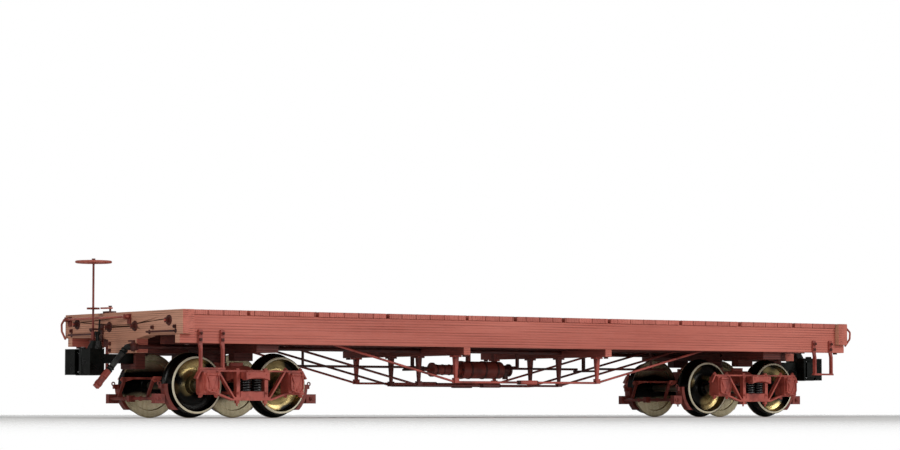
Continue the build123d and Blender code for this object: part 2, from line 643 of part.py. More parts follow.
with BuildPart() as brake_wheel:
    with Locations((STAFF_X, STAFF_Y, BRAKE_WHEEL_Z)):
        Torus(WHEEL_RIM_R, RIM_R)
        with PolarLocations(WHEEL_RIM_R / 2, SPOKES):
            Box(WHEEL_RIM_R, *SPOKE_BAR)
    with Locations((STAFF_X, STAFF_Y, BRAKE_WHEEL_Z)):
        Cylinder(*WHEEL_HUB)
        Cylinder(STAFF_R, 2 * WHEEL_HUB[1], mode=Mode.SUBTRACT)
write(brake_wheel, "brake_wheel")

RATCHET_R = 2.5
TEETH = 12
TOOTH_R = 0.95
RATCHET_THICK = 1.0

with BuildPart() as ratchet_wheel:
    with BuildSketch(Plane((STAFF_X, STAFF_Y, RATCHET_Z - RATCHET_THICK / 2))):
        Circle(RATCHET_R)
        with PolarLocations(RATCHET_R + 0.1, TEETH):
            RegularPolygon(TOOTH_R, 3)
        Circle(STAFF_R, mode=Mode.SUBTRACT)
    extrude(amount=RATCHET_THICK)
write(ratchet_wheel, "ratchet_wheel")

PAWL_EYE_R = 1.4
PAWL_THICK = 0.9

with BuildPart() as brake_pawl:
    with BuildSketch(Plane.XY.offset(RATCHET_Z - 0.25)):
        with BuildLine():
            Polyline(
                (PAWL_PIVOT[0] - 1.3, PAWL_PIVOT[1] - 0.4),
                (PAWL_TIP[0] - 0.5, PAWL_TIP[1] - 0.5),
                PAWL_TIP,
                (PAWL_PIVOT[0] + 1.1, PAWL_PIVOT[1] + 0.7),
                close=True,
            )
        make_face()
        with Locations(PAWL_PIVOT):
            Circle(PAWL_EYE_R)
            Circle(PAWL_PIN[0] + FIT, mode=Mode.SUBTRACT)
    extrude(amount=PAWL_THICK)
write(brake_pawl, "brake_pawl")


# ---- couplers, one at each end ------------------------------------------------------------


def place(shape, turn):
    """Turn a piece made for the b end half a turn about +Z when it belongs to the a end."""
    return shape.rotate(Axis.Z, 180) if turn else shape


HEAD_OUTLINE = (
    (253.8, -4.0),
    (255.6, -8.6),
    (260.5, -10.55),
    (262.8, -10.1),
    (264.2, -8.6),
    (264.55, -6.8),
    (263.8, -4.75),
    (261.5, -2.4),
    (261.0, 2.6),
    (263.6, 6.0),
    (270.4, 6.4),
    (271.2, 10.4),
    (266.5, 11.8),
    (256.4, 9.4),
    (253.8, 4.0),
)
# The knuckle: the hub in the slot and the nose in front of the lugs, as high as the head
HUB_OUTLINE = (
    (257.8, -9.2),
    (265.9, -9.6),
    (265.9, -5.0),
    (257.8, -5.4),
)
NOSE_OUTLINE = (
    (264.9, -9.8),
    (270.4, -9.4),
    (271.9, -6.0),
    (271.3, -1.8),
    (269.2, -0.4),
    (267.3, -1.4),
    (267.1, -3.8),
    (264.9, -4.9),
)

SHANK_WIDTH = 6.4
SHANK_END_R = 2.9
HEAD_REAR = 254.5
KNUCKLE_PIN_R = 1.1
KNUCKLE_PIN_HEAD = (1.9, 1.0)
KNUCKLE_PLAY = 0.15
NOSE_EASE = 0.2
LOCK_BOX_TOP = 42.0
LOCK_BOX_FOOT = (6.8, 7.6)
LOCK_BOX_CROWN = (5.0, 4.6)
LOCK_BOX_FOOT_X = 257.3
LOCK_BOX_CROWN_X = 256.4
LOCK_BOX_CORNER = 1.4
LOCK_R = 1.1
LOCK_Z = (31.4, 45.4)
LOCK_EYE = (2.8, 1.4, 2.0)
LINK_R = 0.45
LINK_LENGTH = 11.4
LINK_WAY = (-5.35, -8.6, 7.9)

for end, turn in (("a", True), ("b", False)):
    with BuildPart() as coupler_body:
        with BuildSketch(Plane.XY.offset(HEAD_Z[0])):
            with BuildLine():
                Polyline(*HEAD_OUTLINE, close=True)
            make_face()
        extrude(amount=HEAD_Z[1] - HEAD_Z[0])
        fillet(coupler_body.edges().filter_by(Axis.Z).group_by(Axis.X)[-1], 1.2)
        with Locations(((PIVOT_X + HEAD_REAR) / 2, 0, sum(SHANK_Z) / 2)):
            Box(HEAD_REAR - PIVOT_X, SHANK_WIDTH, SHANK_Z[1] - SHANK_Z[0])
        with Locations((PIVOT_X, 0, sum(SHANK_Z) / 2)):
            Cylinder(SHANK_END_R, SHANK_Z[1] - SHANK_Z[0])
            Cylinder(KING_PIN_R + FIT, HEAD_Z[1], mode=Mode.SUBTRACT)
        # housing of the lock above the head
        with BuildSketch(Plane.XY.offset(HEAD_Z[1])):
            with Locations((LOCK_BOX_FOOT_X, 0)):
                RectangleRounded(*LOCK_BOX_FOOT, LOCK_BOX_CORNER)
        with BuildSketch(Plane.XY.offset(LOCK_BOX_TOP)):
            with Locations((LOCK_BOX_CROWN_X, 0)):
                RectangleRounded(*LOCK_BOX_CROWN, LOCK_BOX_CORNER)
        loft()
        # slot for the knuckle, between an upper and a lower lug
        slot_z = sum(KNUCKLE_SLOT_Z) / 2
        with Locations((263.5, -7.0, slot_z)):
            Box(13.6, 10.0, KNUCKLE_SLOT_Z[1] - KNUCKLE_SLOT_Z[0], mode=Mode.SUBTRACT)
        with Locations((*KNUCKLE_PIVOT, slot_z)):
            Cylinder(KNUCKLE_PIN_R, HEAD_Z[1], mode=Mode.SUBTRACT)
        with Locations((*LOCK_XY, sum(LOCK_Z) / 2)):
            Cylinder(LOCK_R + FIT, LOCK_Z[1] - LOCK_Z[0], mode=Mode.SUBTRACT)
    coupler_body.part = place(coupler_body.part, turn)
    write(coupler_body, f"coupler_body_{end}")

    with BuildPart() as knuckle_pin:
        with Locations((*KNUCKLE_PIVOT, (HEAD_Z[0] + HEAD_Z[1]) / 2)):
            Cylinder(KNUCKLE_PIN_R, HEAD_Z[1] - HEAD_Z[0])
        with Locations((*KNUCKLE_PIVOT, HEAD_Z[1] + KNUCKLE_PIN_HEAD[1] / 2)):
            Cylinder(*KNUCKLE_PIN_HEAD)
    knuckle_pin.part = place(knuckle_pin.part, turn)
    write(knuckle_pin, f"knuckle_pin_{end}")

    with BuildPart() as knuckle:
        with BuildSketch(Plane.XY.offset(KNUCKLE_SLOT_Z[0] + KNUCKLE_PLAY)):
            with BuildLine():
                Polyline(*HUB_OUTLINE, close=True)
            make_face()
            with Locations(KNUCKLE_PIVOT):
                Circle(KNUCKLE_PIN_R + FIT, mode=Mode.SUBTRACT)
        extrude(amount=KNUCKLE_SLOT_Z[1] - KNUCKLE_SLOT_Z[0] - 2 * KNUCKLE_PLAY)
        with BuildSketch(Plane.XY.offset(HEAD_Z[0] + NOSE_EASE)):
            with BuildLine():
                Polyline(*NOSE_OUTLINE, close=True)
            make_face()
        extrude(amount=HEAD_Z[1] - HEAD_Z[0] - 2 * NOSE_EASE)
        fillet(knuckle.edges().filter_by(Axis.Z).group_by(Axis.X)[-1], 1.0)
    knuckle.part = place(knuckle.part, turn)
    write(knuckle, f"knuckle_{end}")

    with BuildPart() as lock_pin:
        with Locations((*LOCK_XY, sum(LOCK_Z) / 2)):
            Cylinder(LOCK_R, LOCK_Z[1] - LOCK_Z[0])
        with Locations((*LOCK_XY, LOCK_Z[1] + LOCK_EYE[2] / 2 - 0.2)):
            Box(*LOCK_EYE)
        with BuildSketch(Plane((LOCK_XY[0] - 0.7, LOCK_XY[1], LOCK_Z[1] + 1.4), z_dir=LINK_WAY)):
            Circle(LINK_R)
        extrude(amount=LINK_LENGTH)
    lock_pin.part = place(lock_pin.part, turn)
    write(lock_pin, f"lock_pin_{end}")

    with BuildPart() as cut_lever:
        with BuildLine() as lever_line:
            FilletPolyline(
                (LEVER_AXIS_X, 11.0, LEVER_AXIS_Z),
                (LEVER_AXIS_X, 4.0, LEVER_AXIS_Z),
                (LEVER_AXIS_X + 6.6, -8.6, LEVER_AXIS_Z - 0.6),
                (LEVER_AXIS_X, -15.0, LEVER_AXIS_Z),
                (LEVER_AXIS_X, 3.4 - BEAM_HALF_WIDTH, LEVER_AXIS_Z),
                (LEVER_AXIS_X, 0.4 - BEAM_HALF_WIDTH, LEVER_AXIS_Z - 2.6),
                (LEVER_AXIS_X, 0.7 - BEAM_HALF_WIDTH, LEVER_AXIS_Z - 6.6),
                (LEVER_AXIS_X, 5.0 - BEAM_HALF_WIDTH, LEVER_AXIS_Z - 11.0),
                radius=1.4,
            )
        with BuildSketch(Plane(origin=lever_line.line @ 0, z_dir=lever_line.line % 0)):
            Circle(CUT_R)
        sweep(path=lever_line.line)
    cut_lever.part = place(cut_lever.part, turn)
    write(cut_lever, f"cut_lever_{end}")

# ---- trucks -------------------------------------------------------------------------------

FRAME_Y = (40.4, 43.4)
COLUMN_X = (7.9, 10.1)
TOP_BAR_Z = (25.2, 26.1)
BAR_THICK = 0.9
JOURNAL_Z = (13.6, 24.7)
JOURNAL_HALF = 4.9
JOURNAL_Y = (37.0, 46.8)
AXLE_X = WHEELBASE / 2
AXLE_R = 2.2
JOURNAL_R = 1.5
BOLSTER_HALF = 7.5
BOLSTER_END_Y = 49.4
BOLSTER_END_Z = (20.6, 25.0)
SPRING_SEAT_Z = (12.9, 14.5)
SPRING_X = 3.5
SPRING_Y = 41.9
BOWL_Z = 30.8
HANGER_Y = 17.5
HANGER_PIVOT = (46.6, 21.0)
BEAM_X = 49.8
BEAM_Z = 10.6
SHOE_R = TREAD_R + 0.9
SHOE_Y = (23.2, 27.6)
SHOE_Z = (4.4, 18.6)
SHOE_HEAD = (6.4, 3.4, 5.2)
SHOE_HEAD_BACK = 1.0
SHOE_EYE = (0.9, 0.35)
AXLE_END_Y = 44.0
AXLE_SHOULDER_Y = 36.6
BACK_Y = 21.2
FACE_Y = 30.0

for end, cx in (("a", -TRUCK_X), ("b", TRUCK_X)):
    with BuildPart() as truck_bolster:
        with BuildSketch(Plane.YZ.offset(cx - BOLSTER_HALF)):
            with BuildLine():
                Polyline(
                    (-BOLSTER_END_Y + 4.0, 21.4),
                    (-34.0, 21.4),
                    (-26.0, 19.6),
                    (26.0, 19.6),
                    (34.0, 21.4),
                    (BOLSTER_END_Y - 4.0, 21.4),
                    (BOLSTER_END_Y - 4.0, BOLSTER_END_Z[1]),
                    (36.0, BOLSTER_END_Z[1]),
                    (27.0, 28.6),
                    (-27.0, 28.6),
                    (-36.0, BOLSTER_END_Z[1]),
                    (-BOLSTER_END_Y + 4.0, BOLSTER_END_Z[1]),
                    close=True,
                )
            make_face()
        extrude(amount=2 * BOLSTER_HALF)
        for y_face in (-BOLSTER_END_Y + 4.0, BOLSTER_END_Y):
            with BuildSketch(Plane.XZ.offset(-y_face)):
                with BuildLine():
                    Polyline(
                        (cx - BOLSTER_HALF, BOLSTER_END_Z[0]),
                        (cx - BOLSTER_HALF, BOLSTER_END_Z[1]),
                        (cx + BOLSTER_HALF, BOLSTER_END_Z[1]),
                        (cx + BOLSTER_HALF, BOLSTER_END_Z[0]),
                    )
                    ThreePointArc(
                        (cx + BOLSTER_HALF, BOLSTER_END_Z[0]),
                        (cx, BOLSTER_END_Z[0] + 1.4),
                        (cx - BOLSTER_HALF, BOLSTER_END_Z[0]),
                    )
                make_face()
            extrude(amount=4.0)
        with Locations((cx, 0, (28.6 + BOWL_Z) / 2)):
            Cylinder(8.6, BOWL_Z - 28.6)
        with Locations((cx, 0, BOWL_Z)):
            Cylinder(CENTER_BOSS_R + 0.3, 2.6, mode=Mode.SUBTRACT)
        with Locations((cx, 0, 25.0)):
            Cylinder(KING_PIN_R + FIT, 20.0, mode=Mode.SUBTRACT)
        for y in both(26.0):
            with Locations((cx, y, (28.6 + 30.7) / 2 - 0.1)):
                Box(8.0, 2.0, 1.9)
    write(truck_bolster, f"truck_bolster_{end}")

    with BuildPart() as side_frames:
        for plane_y in (-FRAME_Y[0], FRAME_Y[1]):
            with BuildSketch(Plane.XZ.offset(-plane_y)):
                # top arch bar with its ends turned down outside the journal boxes
                with BuildLine():
                    Polyline(
                        (cx - 35.6, 21.6),
                        (cx - 32.8, TOP_BAR_Z[1]),
                        (cx + 32.8, TOP_BAR_Z[1]),
                        (cx + 35.6, 21.6),
                        (cx + 34.7, 21.2),
                        (cx + 32.3, TOP_BAR_Z[0]),
                        (cx - 32.3, TOP_BAR_Z[0]),
                        (cx - 34.7, 21.2),
                        close=True,
                    )
                make_face()
                # inverted arch bar
                with BuildLine():
                    Polyline(
                        (cx - 21.9, TOP_BAR_Z[0]),
                        (cx - 20.7, TOP_BAR_Z[0]),
                        (cx - 11.2, 10.9 + 0.5),
                        (cx + 11.2, 10.9 + 0.5),
                        (cx + 20.7, TOP_BAR_Z[0]),
                        (cx + 21.9, TOP_BAR_Z[0]),
                        (cx + 11.6, 10.5),
                        (cx - 11.6, 10.5),
                        close=True,
                    )
                make_face()
                # tie bar under the journal boxes and the columns
                with BuildLine():
                    Polyline(
                        (cx - 33.6, JOURNAL_Z[0]),
                        (cx - 21.5, JOURNAL_Z[0]),
                        (cx - 12.5, 10.5),
                        (cx + 12.5, 10.5),
                        (cx + 21.5, JOURNAL_Z[0]),
                        (cx + 33.6, JOURNAL_Z[0]),
                        (cx + 33.6, JOURNAL_Z[0] - BAR_THICK),
                        (cx + 21.8, JOURNAL_Z[0] - BAR_THICK),
                        (cx + 12.7, 9.5),
                        (cx - 12.7, 9.5),
                        (cx - 21.8, JOURNAL_Z[0] - BAR_THICK),
                        (cx - 33.6, JOURNAL_Z[0] - BAR_THICK),
                        close=True,
                    )
                make_face()
                # columns on each side of the bolster
                for x in (cx - sum(COLUMN_X) / 2, cx + sum(COLUMN_X) / 2):
                    with Locations((x, (11.2 + TOP_BAR_Z[0]) / 2)):
                        Rectangle(COLUMN_X[1] - COLUMN_X[0], TOP_BAR_Z[0] - 11.2)
            extrude(amount=FRAME_Y[1] - FRAME_Y[0])
        # column bolts, nutted under the tie bar and over the top bar
        for y in both(sum(FRAME_Y) / 2):
            for x in (cx - 9.0, cx + 9.0):
                with Locations((x, y, 8.7)):
                    Box(2.0, 2.0, 1.6)
                with Locations((x, y, 7.4)):
                    Cylinder(0.5, 1.6)
                with Locations((x, y, TOP_BAR_Z[1] + 0.5)):
                    Box(2.0, 2.0, 1.0)
            for x in (cx - 22.3, cx - 32.7, cx + 22.3, cx + 32.7):
                with Locations((x, y, 11.9)):
                    Cylinder(0.75, 1.6)
    write(side_frames, f"side_frames_{end}")

    with BuildPart() as journal_boxes:
        for x in (cx - AXLE_X, cx + AXLE_X):
            for side in (-1, 1):
                inner = side * JOURNAL_Y[0]
                outer = side * (JOURNAL_Y[1] - 1.3)
                with Locations((x, (inner + outer) / 2, sum(JOURNAL_Z) / 2)):
                    Box(2 * JOURNAL_HALF, abs(outer - inner), JOURNAL_Z[1] - JOURNAL_Z[0])
                # sloping lid with a hinge barrel on top and a raised panel
                with BuildSketch(Plane((x, outer, 0), x_dir=(1, 0, 0), z_dir=(0, -1, 0))):
                    with BuildLine():
                        Polyline(
                            (-4.2, 24.0),
                            (4.2, 24.0),
                            (4.2, 15.6),
                            (2.0, 14.0),
                            (-2.0, 14.0),
                            (-4.2, 15.6),
                            close=True,
                        )
                    make_face()
                extrude(amount=-side * 0.9)
                lid_y = outer + side * 0.9
                with BuildSketch(Plane((x, lid_y, 0), x_dir=(1, 0, 0), z_dir=(0, -1, 0))):
                    with Locations((0, 18.8)):
                        Rectangle(4.4, 5.6)
                extrude(amount=-side * 0.4)
                with Locations((x, lid_y, 23.6)):
                    Cylinder(0.7, 5.0, rotation=(0, 90, 0))
                with Locations((x, side * (JOURNAL_Y[0] + 3.5), AXLE_Z)):
                    Cylinder(JOURNAL_R + FIT, 8.0, rotation=(90, 0, 0), mode=Mode.SUBTRACT)
        # the arch bars pass over and under the boxes, so their top and bottom stay flat
        for y in both(sum(FRAME_Y) / 2):
            for x in (cx - AXLE_X, cx + AXLE_X):
                with Locations((x, y, JOURNAL_Z[1] + 0.25)):
                    Box(2 * JOURNAL_HALF - 2.0, FRAME_Y[1] - FRAME_Y[0], 0.5)
    write(journal_boxes, f"journal_boxes_{end}")

    with BuildPart() as spring_plank:
        # a channel from one side frame to the other, with arms that carry the brake hangers
        seat_top = SPRING_SEAT_Z[1]
        with Locations((cx, 0, (SPRING_SEAT_Z[0] + seat_top) / 2)):
            Box(2 * BOLSTER_HALF, 2 * FRAME_Y[1], seat_top - SPRING_SEAT_Z[0])
        for y in both(sum(FRAME_Y) / 2):
            with Locations((cx, y, (11.4 + SPRING_SEAT_Z[0]) / 2)):
                Box(2 * BOLSTER_HALF, FRAME_Y[1] - FRAME_Y[0], SPRING_SEAT_Z[0] - 11.4)
        for y in (-HANGER_Y, HANGER_Y):
            with BuildSketch(Plane.XZ.offset(-y - 0.6)):
                with BuildLine():
                    Polyline(
                        (cx, seat_top),
                        (cx + 7.0, seat_top),
                        (cx + 17.0, 22.6),
                        (cx + 41.0, 22.6),
                        (cx + HANGER_PIVOT[0] + 0.6, HANGER_PIVOT[1] + 1.6),
                        (cx + HANGER_PIVOT[0] + 1.6, HANGER_PIVOT[1]),
                        (cx + HANGER_PIVOT[0], HANGER_PIVOT[1] - 1.5),
                        (cx + 40.4, 21.4),
                        (cx + 17.6, 21.4),
                        (cx + 8.0, seat_top - 1.0),
                        (cx, seat_top - 1.0),
                        close=True,
                    )
                make_face()
                mirror(about=Plane.YZ.offset(cx))
                with Locations(
                    (cx + HANGER_PIVOT[0], HANGER_PIVOT[1]),
                    (cx - HANGER_PIVOT[0], HANGER_PIVOT[1]),
                ):
                    Circle(0.55 + FIT, mode=Mode.SUBTRACT)
            extrude(amount=1.2)
    write(spring_plank, f"spring_plank_{end}")

    with BuildPart() as truck_springs:
        for y in both(SPRING_Y):
            for x in (cx - SPRING_X, cx + SPRING_X):
                for turn_number in range(6):
                    with Locations((x, y, SPRING_SEAT_Z[1] + 0.55 + 1.16 * turn_number)):
                        Torus(2.5, 0.54)
                with Locations((x, y, (SPRING_SEAT_Z[1] + 21.4) / 2)):
                    Cylinder(2.3, 21.4 - SPRING_SEAT_Z[1])
    write(truck_springs, f"truck_springs_{end}")

    for number, side_x in ((1, -1), (2, 1)):
        ax = cx + side_x * AXLE_X
        with BuildPart() as axle:
            with BuildSketch(Plane.XY):
                with BuildLine():
                    Polyline(
                        (0, -AXLE_END_Y),
                        (JOURNAL_R, -AXLE_END_Y),
                        (JOURNAL_R, -AXLE_SHOULDER_Y),
                        (AXLE_R, -AXLE_SHOULDER_Y),
                        (AXLE_R, AXLE_SHOULDER_Y),
                        (JOURNAL_R, AXLE_SHOULDER_Y),
                        (JOURNAL_R, AXLE_END_Y),
                        (0, AXLE_END_Y),
                        close=True,
                    )
                make_face()
            revolve(axis=Axis.Y)
        axle.part = axle.part.translate((ax, 0, AXLE_Z))
        write(axle, f"axle_{end}{number}")

        with BuildPart() as wheels:
            with BuildSketch(Plane.XY):
                with BuildLine():
                    Polyline(
                        (AXLE_R, BACK_Y),
                        (5.2, BACK_Y),
                        (5.6, BACK_Y + 0.9),
                        (13.6, BACK_Y + 0.9),
                        (14.0, BACK_Y),
                        (FLANGE_R - 0.6, BACK_Y),
                        (FLANGE_R, BACK_Y + 0.6),
                        (FLANGE_R - 0.2, BACK_Y + 1.2),
                        (TREAD_R + 0.5, BACK_Y + 1.7),
                        (TREAD_R, BACK_Y + 2.4),
                        (TREAD_R - 0.2, FACE_Y - 0.6),
                        (15.3, FACE_Y),
                        (14.5, FACE_Y),
                        (14.3, FACE_Y - 0.5),
                        (13.7, FACE_Y - 4.6),
                    )
                    ThreePointArc((13.7, FACE_Y - 4.6), (9.6, FACE_Y - 5.4), (5.4, FACE_Y - 3.8))
                    Polyline(
                        (5.4, FACE_Y - 3.8),
                        (4.6, FACE_Y - 1.0),
                        (4.2, FACE_Y - 0.6),
                        (AXLE_R, FACE_Y - 0.6),
                        (AXLE_R, BACK_Y),
                    )
                make_face()
            revolve(axis=Axis.Y)
            mirror(about=Plane.XZ)
        wheels.part = wheels.part.translate((ax, 0, AXLE_Z))
        write(wheels, f"wheels_{end}{number}")

        bx = cx + side_x * BEAM_X
        with BuildPart() as brake_beam:
            with Locations((bx + side_x * 0.6, 0, BEAM_Z)):
                Cylinder(0.9, 2 * SHOE_Y[1], rotation=(90, 0, 0))
            # king post in the middle and the truss rod behind the beam
            with Locations((bx + side_x * 1.6, 0, BEAM_Z)):
                Box(4.0, 2.6, 3.4)
            for y in both(HANGER_Y - 1.5):
                with BuildSketch(Plane.XZ.offset(-y - 0.6)):
                    with BuildLine():
                        Polyline(
                            (bx - side_x * 0.2, BEAM_Z),
                            (cx + side_x * (HANGER_PIVOT[0] - 0.9), HANGER_PIVOT[1]),
                            (cx + side_x * (HANGER_PIVOT[0] + 0.9), HANGER_PIVOT[1]),
                            (bx + side_x * 1.4, BEAM_Z),
                            close=True,
                        )
                    make_face()
                    with Locations((cx + side_x * HANGER_PIVOT[0], HANGER_PIVOT[1])):
                        Circle(1.1)
                extrude(amount=1.2)
            for y in both(HANGER_Y - 0.4):
                with Locations((cx + side_x * HANGER_PIVOT[0], y, HANGER_PIVOT[1])):
                    Cylinder(0.55, 3.4, rotation=(90, 0, 0))
            # shoes, curved round the treads, with their heads and eyes
            for y in both(sum(SHOE_Y) / 2):
                with BuildSketch(Plane.XZ.offset(-y - (SHOE_Y[1] - SHOE_Y[0]) / 2)):
                    with Locations((ax, AXLE_Z)):
                        Circle(SHOE_R + 2.0)
                        Circle(SHOE_R, mode=Mode.SUBTRACT)
                    with Locations((ax + side_x * SHOE_R, sum(SHOE_Z) / 2)):
                        Rectangle(SHOE_R, SHOE_Z[1] - SHOE_Z[0], mode=Mode.INTERSECT)
                extrude(amount=SHOE_Y[1] - SHOE_Y[0])
                with Locations((cx + side_x * (BEAM_X - SHOE_HEAD_BACK), y, BEAM_Z)):
                    Box(*SHOE_HEAD)
                # the eye over the shoe on its lug
                with Locations((cx + side_x * (BEAM_X - 2.8), y, SHOE_Z[1] - 1.3)):
                    Box(2.6, 1.6, 2.4)
                with Locations((cx + side_x * (BEAM_X - 1.5), y, SHOE_Z[1] + 0.3)):
                    Torus(*SHOE_EYE, rotation=(90, 0, 0))
        write(brake_beam, f"brake_beam_{end}{number}")
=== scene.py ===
"""Looks of the model flat car: materials, fine detail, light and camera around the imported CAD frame."""

import math
import random

import bmesh
import bpy
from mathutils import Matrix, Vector


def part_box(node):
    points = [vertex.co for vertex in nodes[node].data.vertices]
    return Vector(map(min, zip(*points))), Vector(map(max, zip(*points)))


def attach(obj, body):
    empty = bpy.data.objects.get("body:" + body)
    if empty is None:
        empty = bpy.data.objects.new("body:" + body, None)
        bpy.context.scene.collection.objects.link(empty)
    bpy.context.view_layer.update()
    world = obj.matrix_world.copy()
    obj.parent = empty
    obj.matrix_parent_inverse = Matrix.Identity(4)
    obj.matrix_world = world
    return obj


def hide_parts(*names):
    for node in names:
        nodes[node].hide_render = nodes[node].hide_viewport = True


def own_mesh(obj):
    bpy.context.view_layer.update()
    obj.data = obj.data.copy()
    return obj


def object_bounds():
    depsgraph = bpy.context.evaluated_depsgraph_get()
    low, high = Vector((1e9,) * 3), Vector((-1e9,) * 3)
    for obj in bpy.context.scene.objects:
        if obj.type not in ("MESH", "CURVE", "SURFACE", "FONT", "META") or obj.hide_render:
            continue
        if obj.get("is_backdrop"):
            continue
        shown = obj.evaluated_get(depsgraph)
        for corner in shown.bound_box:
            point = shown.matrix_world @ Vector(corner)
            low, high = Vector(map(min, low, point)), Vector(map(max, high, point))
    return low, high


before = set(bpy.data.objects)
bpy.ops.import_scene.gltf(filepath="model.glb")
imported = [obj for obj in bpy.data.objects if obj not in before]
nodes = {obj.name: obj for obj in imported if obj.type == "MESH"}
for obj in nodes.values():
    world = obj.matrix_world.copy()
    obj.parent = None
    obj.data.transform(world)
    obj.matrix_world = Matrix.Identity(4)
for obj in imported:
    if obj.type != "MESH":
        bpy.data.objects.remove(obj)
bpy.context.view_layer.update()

MM = 0.001


# ---- small helpers -----------------------------------------------------------------------


def linear(red, green, blue):
    """A colour given as 0 to 255 sRGB values, in linear light with alpha."""

    def channel(value):
        value /= 255.0
        return value / 12.92 if value <= 0.04045 else ((value + 0.055) / 1.055) ** 2.4

    return (channel(red), channel(green), channel(blue), 1.0)


class Surface:
    """A procedural material whose textures read the piece's own coordinates, in metres."""

    def __init__(self, name):
        self.material = bpy.data.materials.new(name)
        self.material.use_nodes = True
        self.tree = self.material.node_tree
        self.shader = self.tree.nodes["Principled BSDF"]
        self.coords = self.tree.nodes.new("ShaderNodeTexCoord").outputs["Object"]

    def node(self, kind, **settings):
        made = self.tree.nodes.new(kind)
        for key, value in settings.items():
            setattr(made, key, value)
        return made

    def feed(self, socket, value):
        """Link a socket to a socket, or set it to a plain value."""
        if isinstance(value, bpy.types.NodeSocket):
            self.tree.links.new(value, socket)
        else:
            socket.default_value = value

    def scaled(self, scale, offset=(0, 0, 0), source=None):
        made = self.node("ShaderNodeMapping")
        self.feed(made.inputs["Vector"], source or self.coords)
        made.inputs["Scale"].default_value = scale
        made.inputs["Location"].default_value = offset
        return made.outputs["Vector"]

    def noise(self, vector, scale=1.0, detail=4.0, roughness=0.55, distortion=0.0):
        made = self.node("ShaderNodeTexNoise")
        self.feed(made.inputs["Vector"], vector)
        made.inputs["Scale"].default_value = scale
        made.inputs["Detail"].default_value = detail
        made.inputs["Roughness"].default_value = roughness
        made.inputs["Distortion"].default_value = distortion
        return made.outputs["Fac"]

    def math(self, operation, first, second=0.0, clamp=False):
        made = self.node("ShaderNodeMath", operation=operation, use_clamp=clamp)
        self.feed(made.inputs[0], first)
        self.feed(made.inputs[1], second)
        return made.outputs[0]

    def span(self, value, low, high, to_low=0.0, to_high=1.0):
        """value moved from low..high to to_low..to_high, and held there outside."""
        made = self.node("ShaderNodeMapRange")
        self.feed(made.inputs["Value"], value)
        for key, number in (
            ("From Min", low),
            ("From Max", high),
            ("To Min", to_low),
            ("To Max", to_high),
        ):
            made.inputs[key].default_value = number
        return made.outputs["Result"]

    def mix(self, factor, first, second, blend="MIX"):
        made = self.node("ShaderNodeMix", data_type="RGBA", blend_type=blend)
        self.feed(made.inputs["Factor"], factor)
        self.feed(made.inputs["A"], first)
        self.feed(made.inputs["B"], second)
        return made.outputs["Result"]

    def separate(self, vector=None):
        made = self.node("ShaderNodeSeparateXYZ")
        self.feed(made.inputs["Vector"], vector or self.coords)
        return made.outputs

    def bump(self, height, distance, strength=1.0, normal=None):
        made = self.node("ShaderNodeBump")
        self.feed(made.inputs["Height"], height)
        made.inputs["Distance"].default_value = distance
        made.inputs["Strength"].default_value = strength
        if normal is not None:
            self.feed(made.inputs["Normal"], normal)
        return made.outputs["Normal"]

    def finish(self, colour, roughness, normal=None, metallic=0.0, specular=0.5, coat=0.0):
        self.feed(self.shader.inputs["Base Color"], colour)
        self.feed(self.shader.inputs["Roughness"], roughness)
        self.feed(self.shader.inputs["Metallic"], metallic)
        self.shader.inputs["Specular IOR Level"].default_value = specular
        self.shader.inputs["Coat Weight"].default_value = coat
        if normal is not None:
            self.feed(self.shader.inputs["Normal"], normal)
        return self.material


def stretch(along, fine, coarse):
    """Texture scale with its long way along one axis: fine across it, coarse along it."""
    return tuple(coarse if axis == along else fine for axis in "XYZ")


# ---- materials ---------------------------------------------------------------------------


def timber(
    name, base, dark, light, along, across, pitch, wave, depth=0.00012, plank_pitch=None, cut_ends=None
):
    """Painted timber: wavy grain lines along one axis, fine fibres, and slow changes of tone.

    cut_ends is an axis with a base and a light colour of its own for the faces square to that axis.
    """
    s = Surface(name)
    if cut_ends:
        axis, end_base, end_light = cut_ends
        facing = s.node("ShaderNodeTexCoord").outputs["Normal"]
        on_end = s.math("GREATER_THAN", s.math("ABSOLUTE", s.separate(facing)[axis]), 0.75)
        base = s.mix(on_end, base, end_base)
        light = s.mix(on_end, light, end_light)
    place = s.separate()[across]
    drift = s.noise(s.scaled(stretch(along, 75, 7)), detail=3.0, roughness=0.45)
    thick = s.noise(s.scaled(stretch(along, 300, 16), (2.0, 5.0, 1.0)), detail=3.0)
    fibres = s.noise(s.scaled(stretch(along, 2400, 80)), detail=3.0, roughness=0.5)
    tone = s.noise(s.scaled(stretch(along, 55, 8), (7.0, 3.0, 2.0)), detail=3.0)
    worn = s.noise(s.scaled((260, 260, 260), (3.1, 1.7, 0.4)), detail=5.0, roughness=0.7)
    phase = s.math("ADD", s.math("MULTIPLY", place, math.tau / pitch), s.math("MULTIPLY", drift, wave))
    lines = s.math("SINE", phase)
    cut = s.math("MULTIPLY", s.span(lines, 0.25, 0.98), s.span(thick, 0.36, 0.66))
    colour = s.mix(s.span(tone, 0.36, 0.7), base, light)
    colour = s.mix(s.math("MULTIPLY", cut, 0.72), colour, dark)
    colour = s.mix(s.span(fibres, 0.55, 0.8, 0.0, 0.35), colour, dark)
    if plank_pitch:
        index = s.math("FLOOR", s.math("DIVIDE", s.separate()["X"], plank_pitch))
        chance = s.node("ShaderNodeTexWhiteNoise", noise_dimensions="1D")
        s.feed(chance.inputs["W"], s.math("ADD", index, 0.37))
        colour = s.mix(s.span(chance.outputs["Value"], 0, 1, 0.0, 0.35), colour, dark)
    height = s.math("SUBTRACT", s.math("MULTIPLY", fibres, 0.4), cut)
    normal = s.bump(height, depth)
    normal = s.bump(worn, 0.00003, normal=normal)
    return s.finish(colour, s.span(worn, 0.3, 0.7, 0.50, 0.70), normal, specular=0.35)


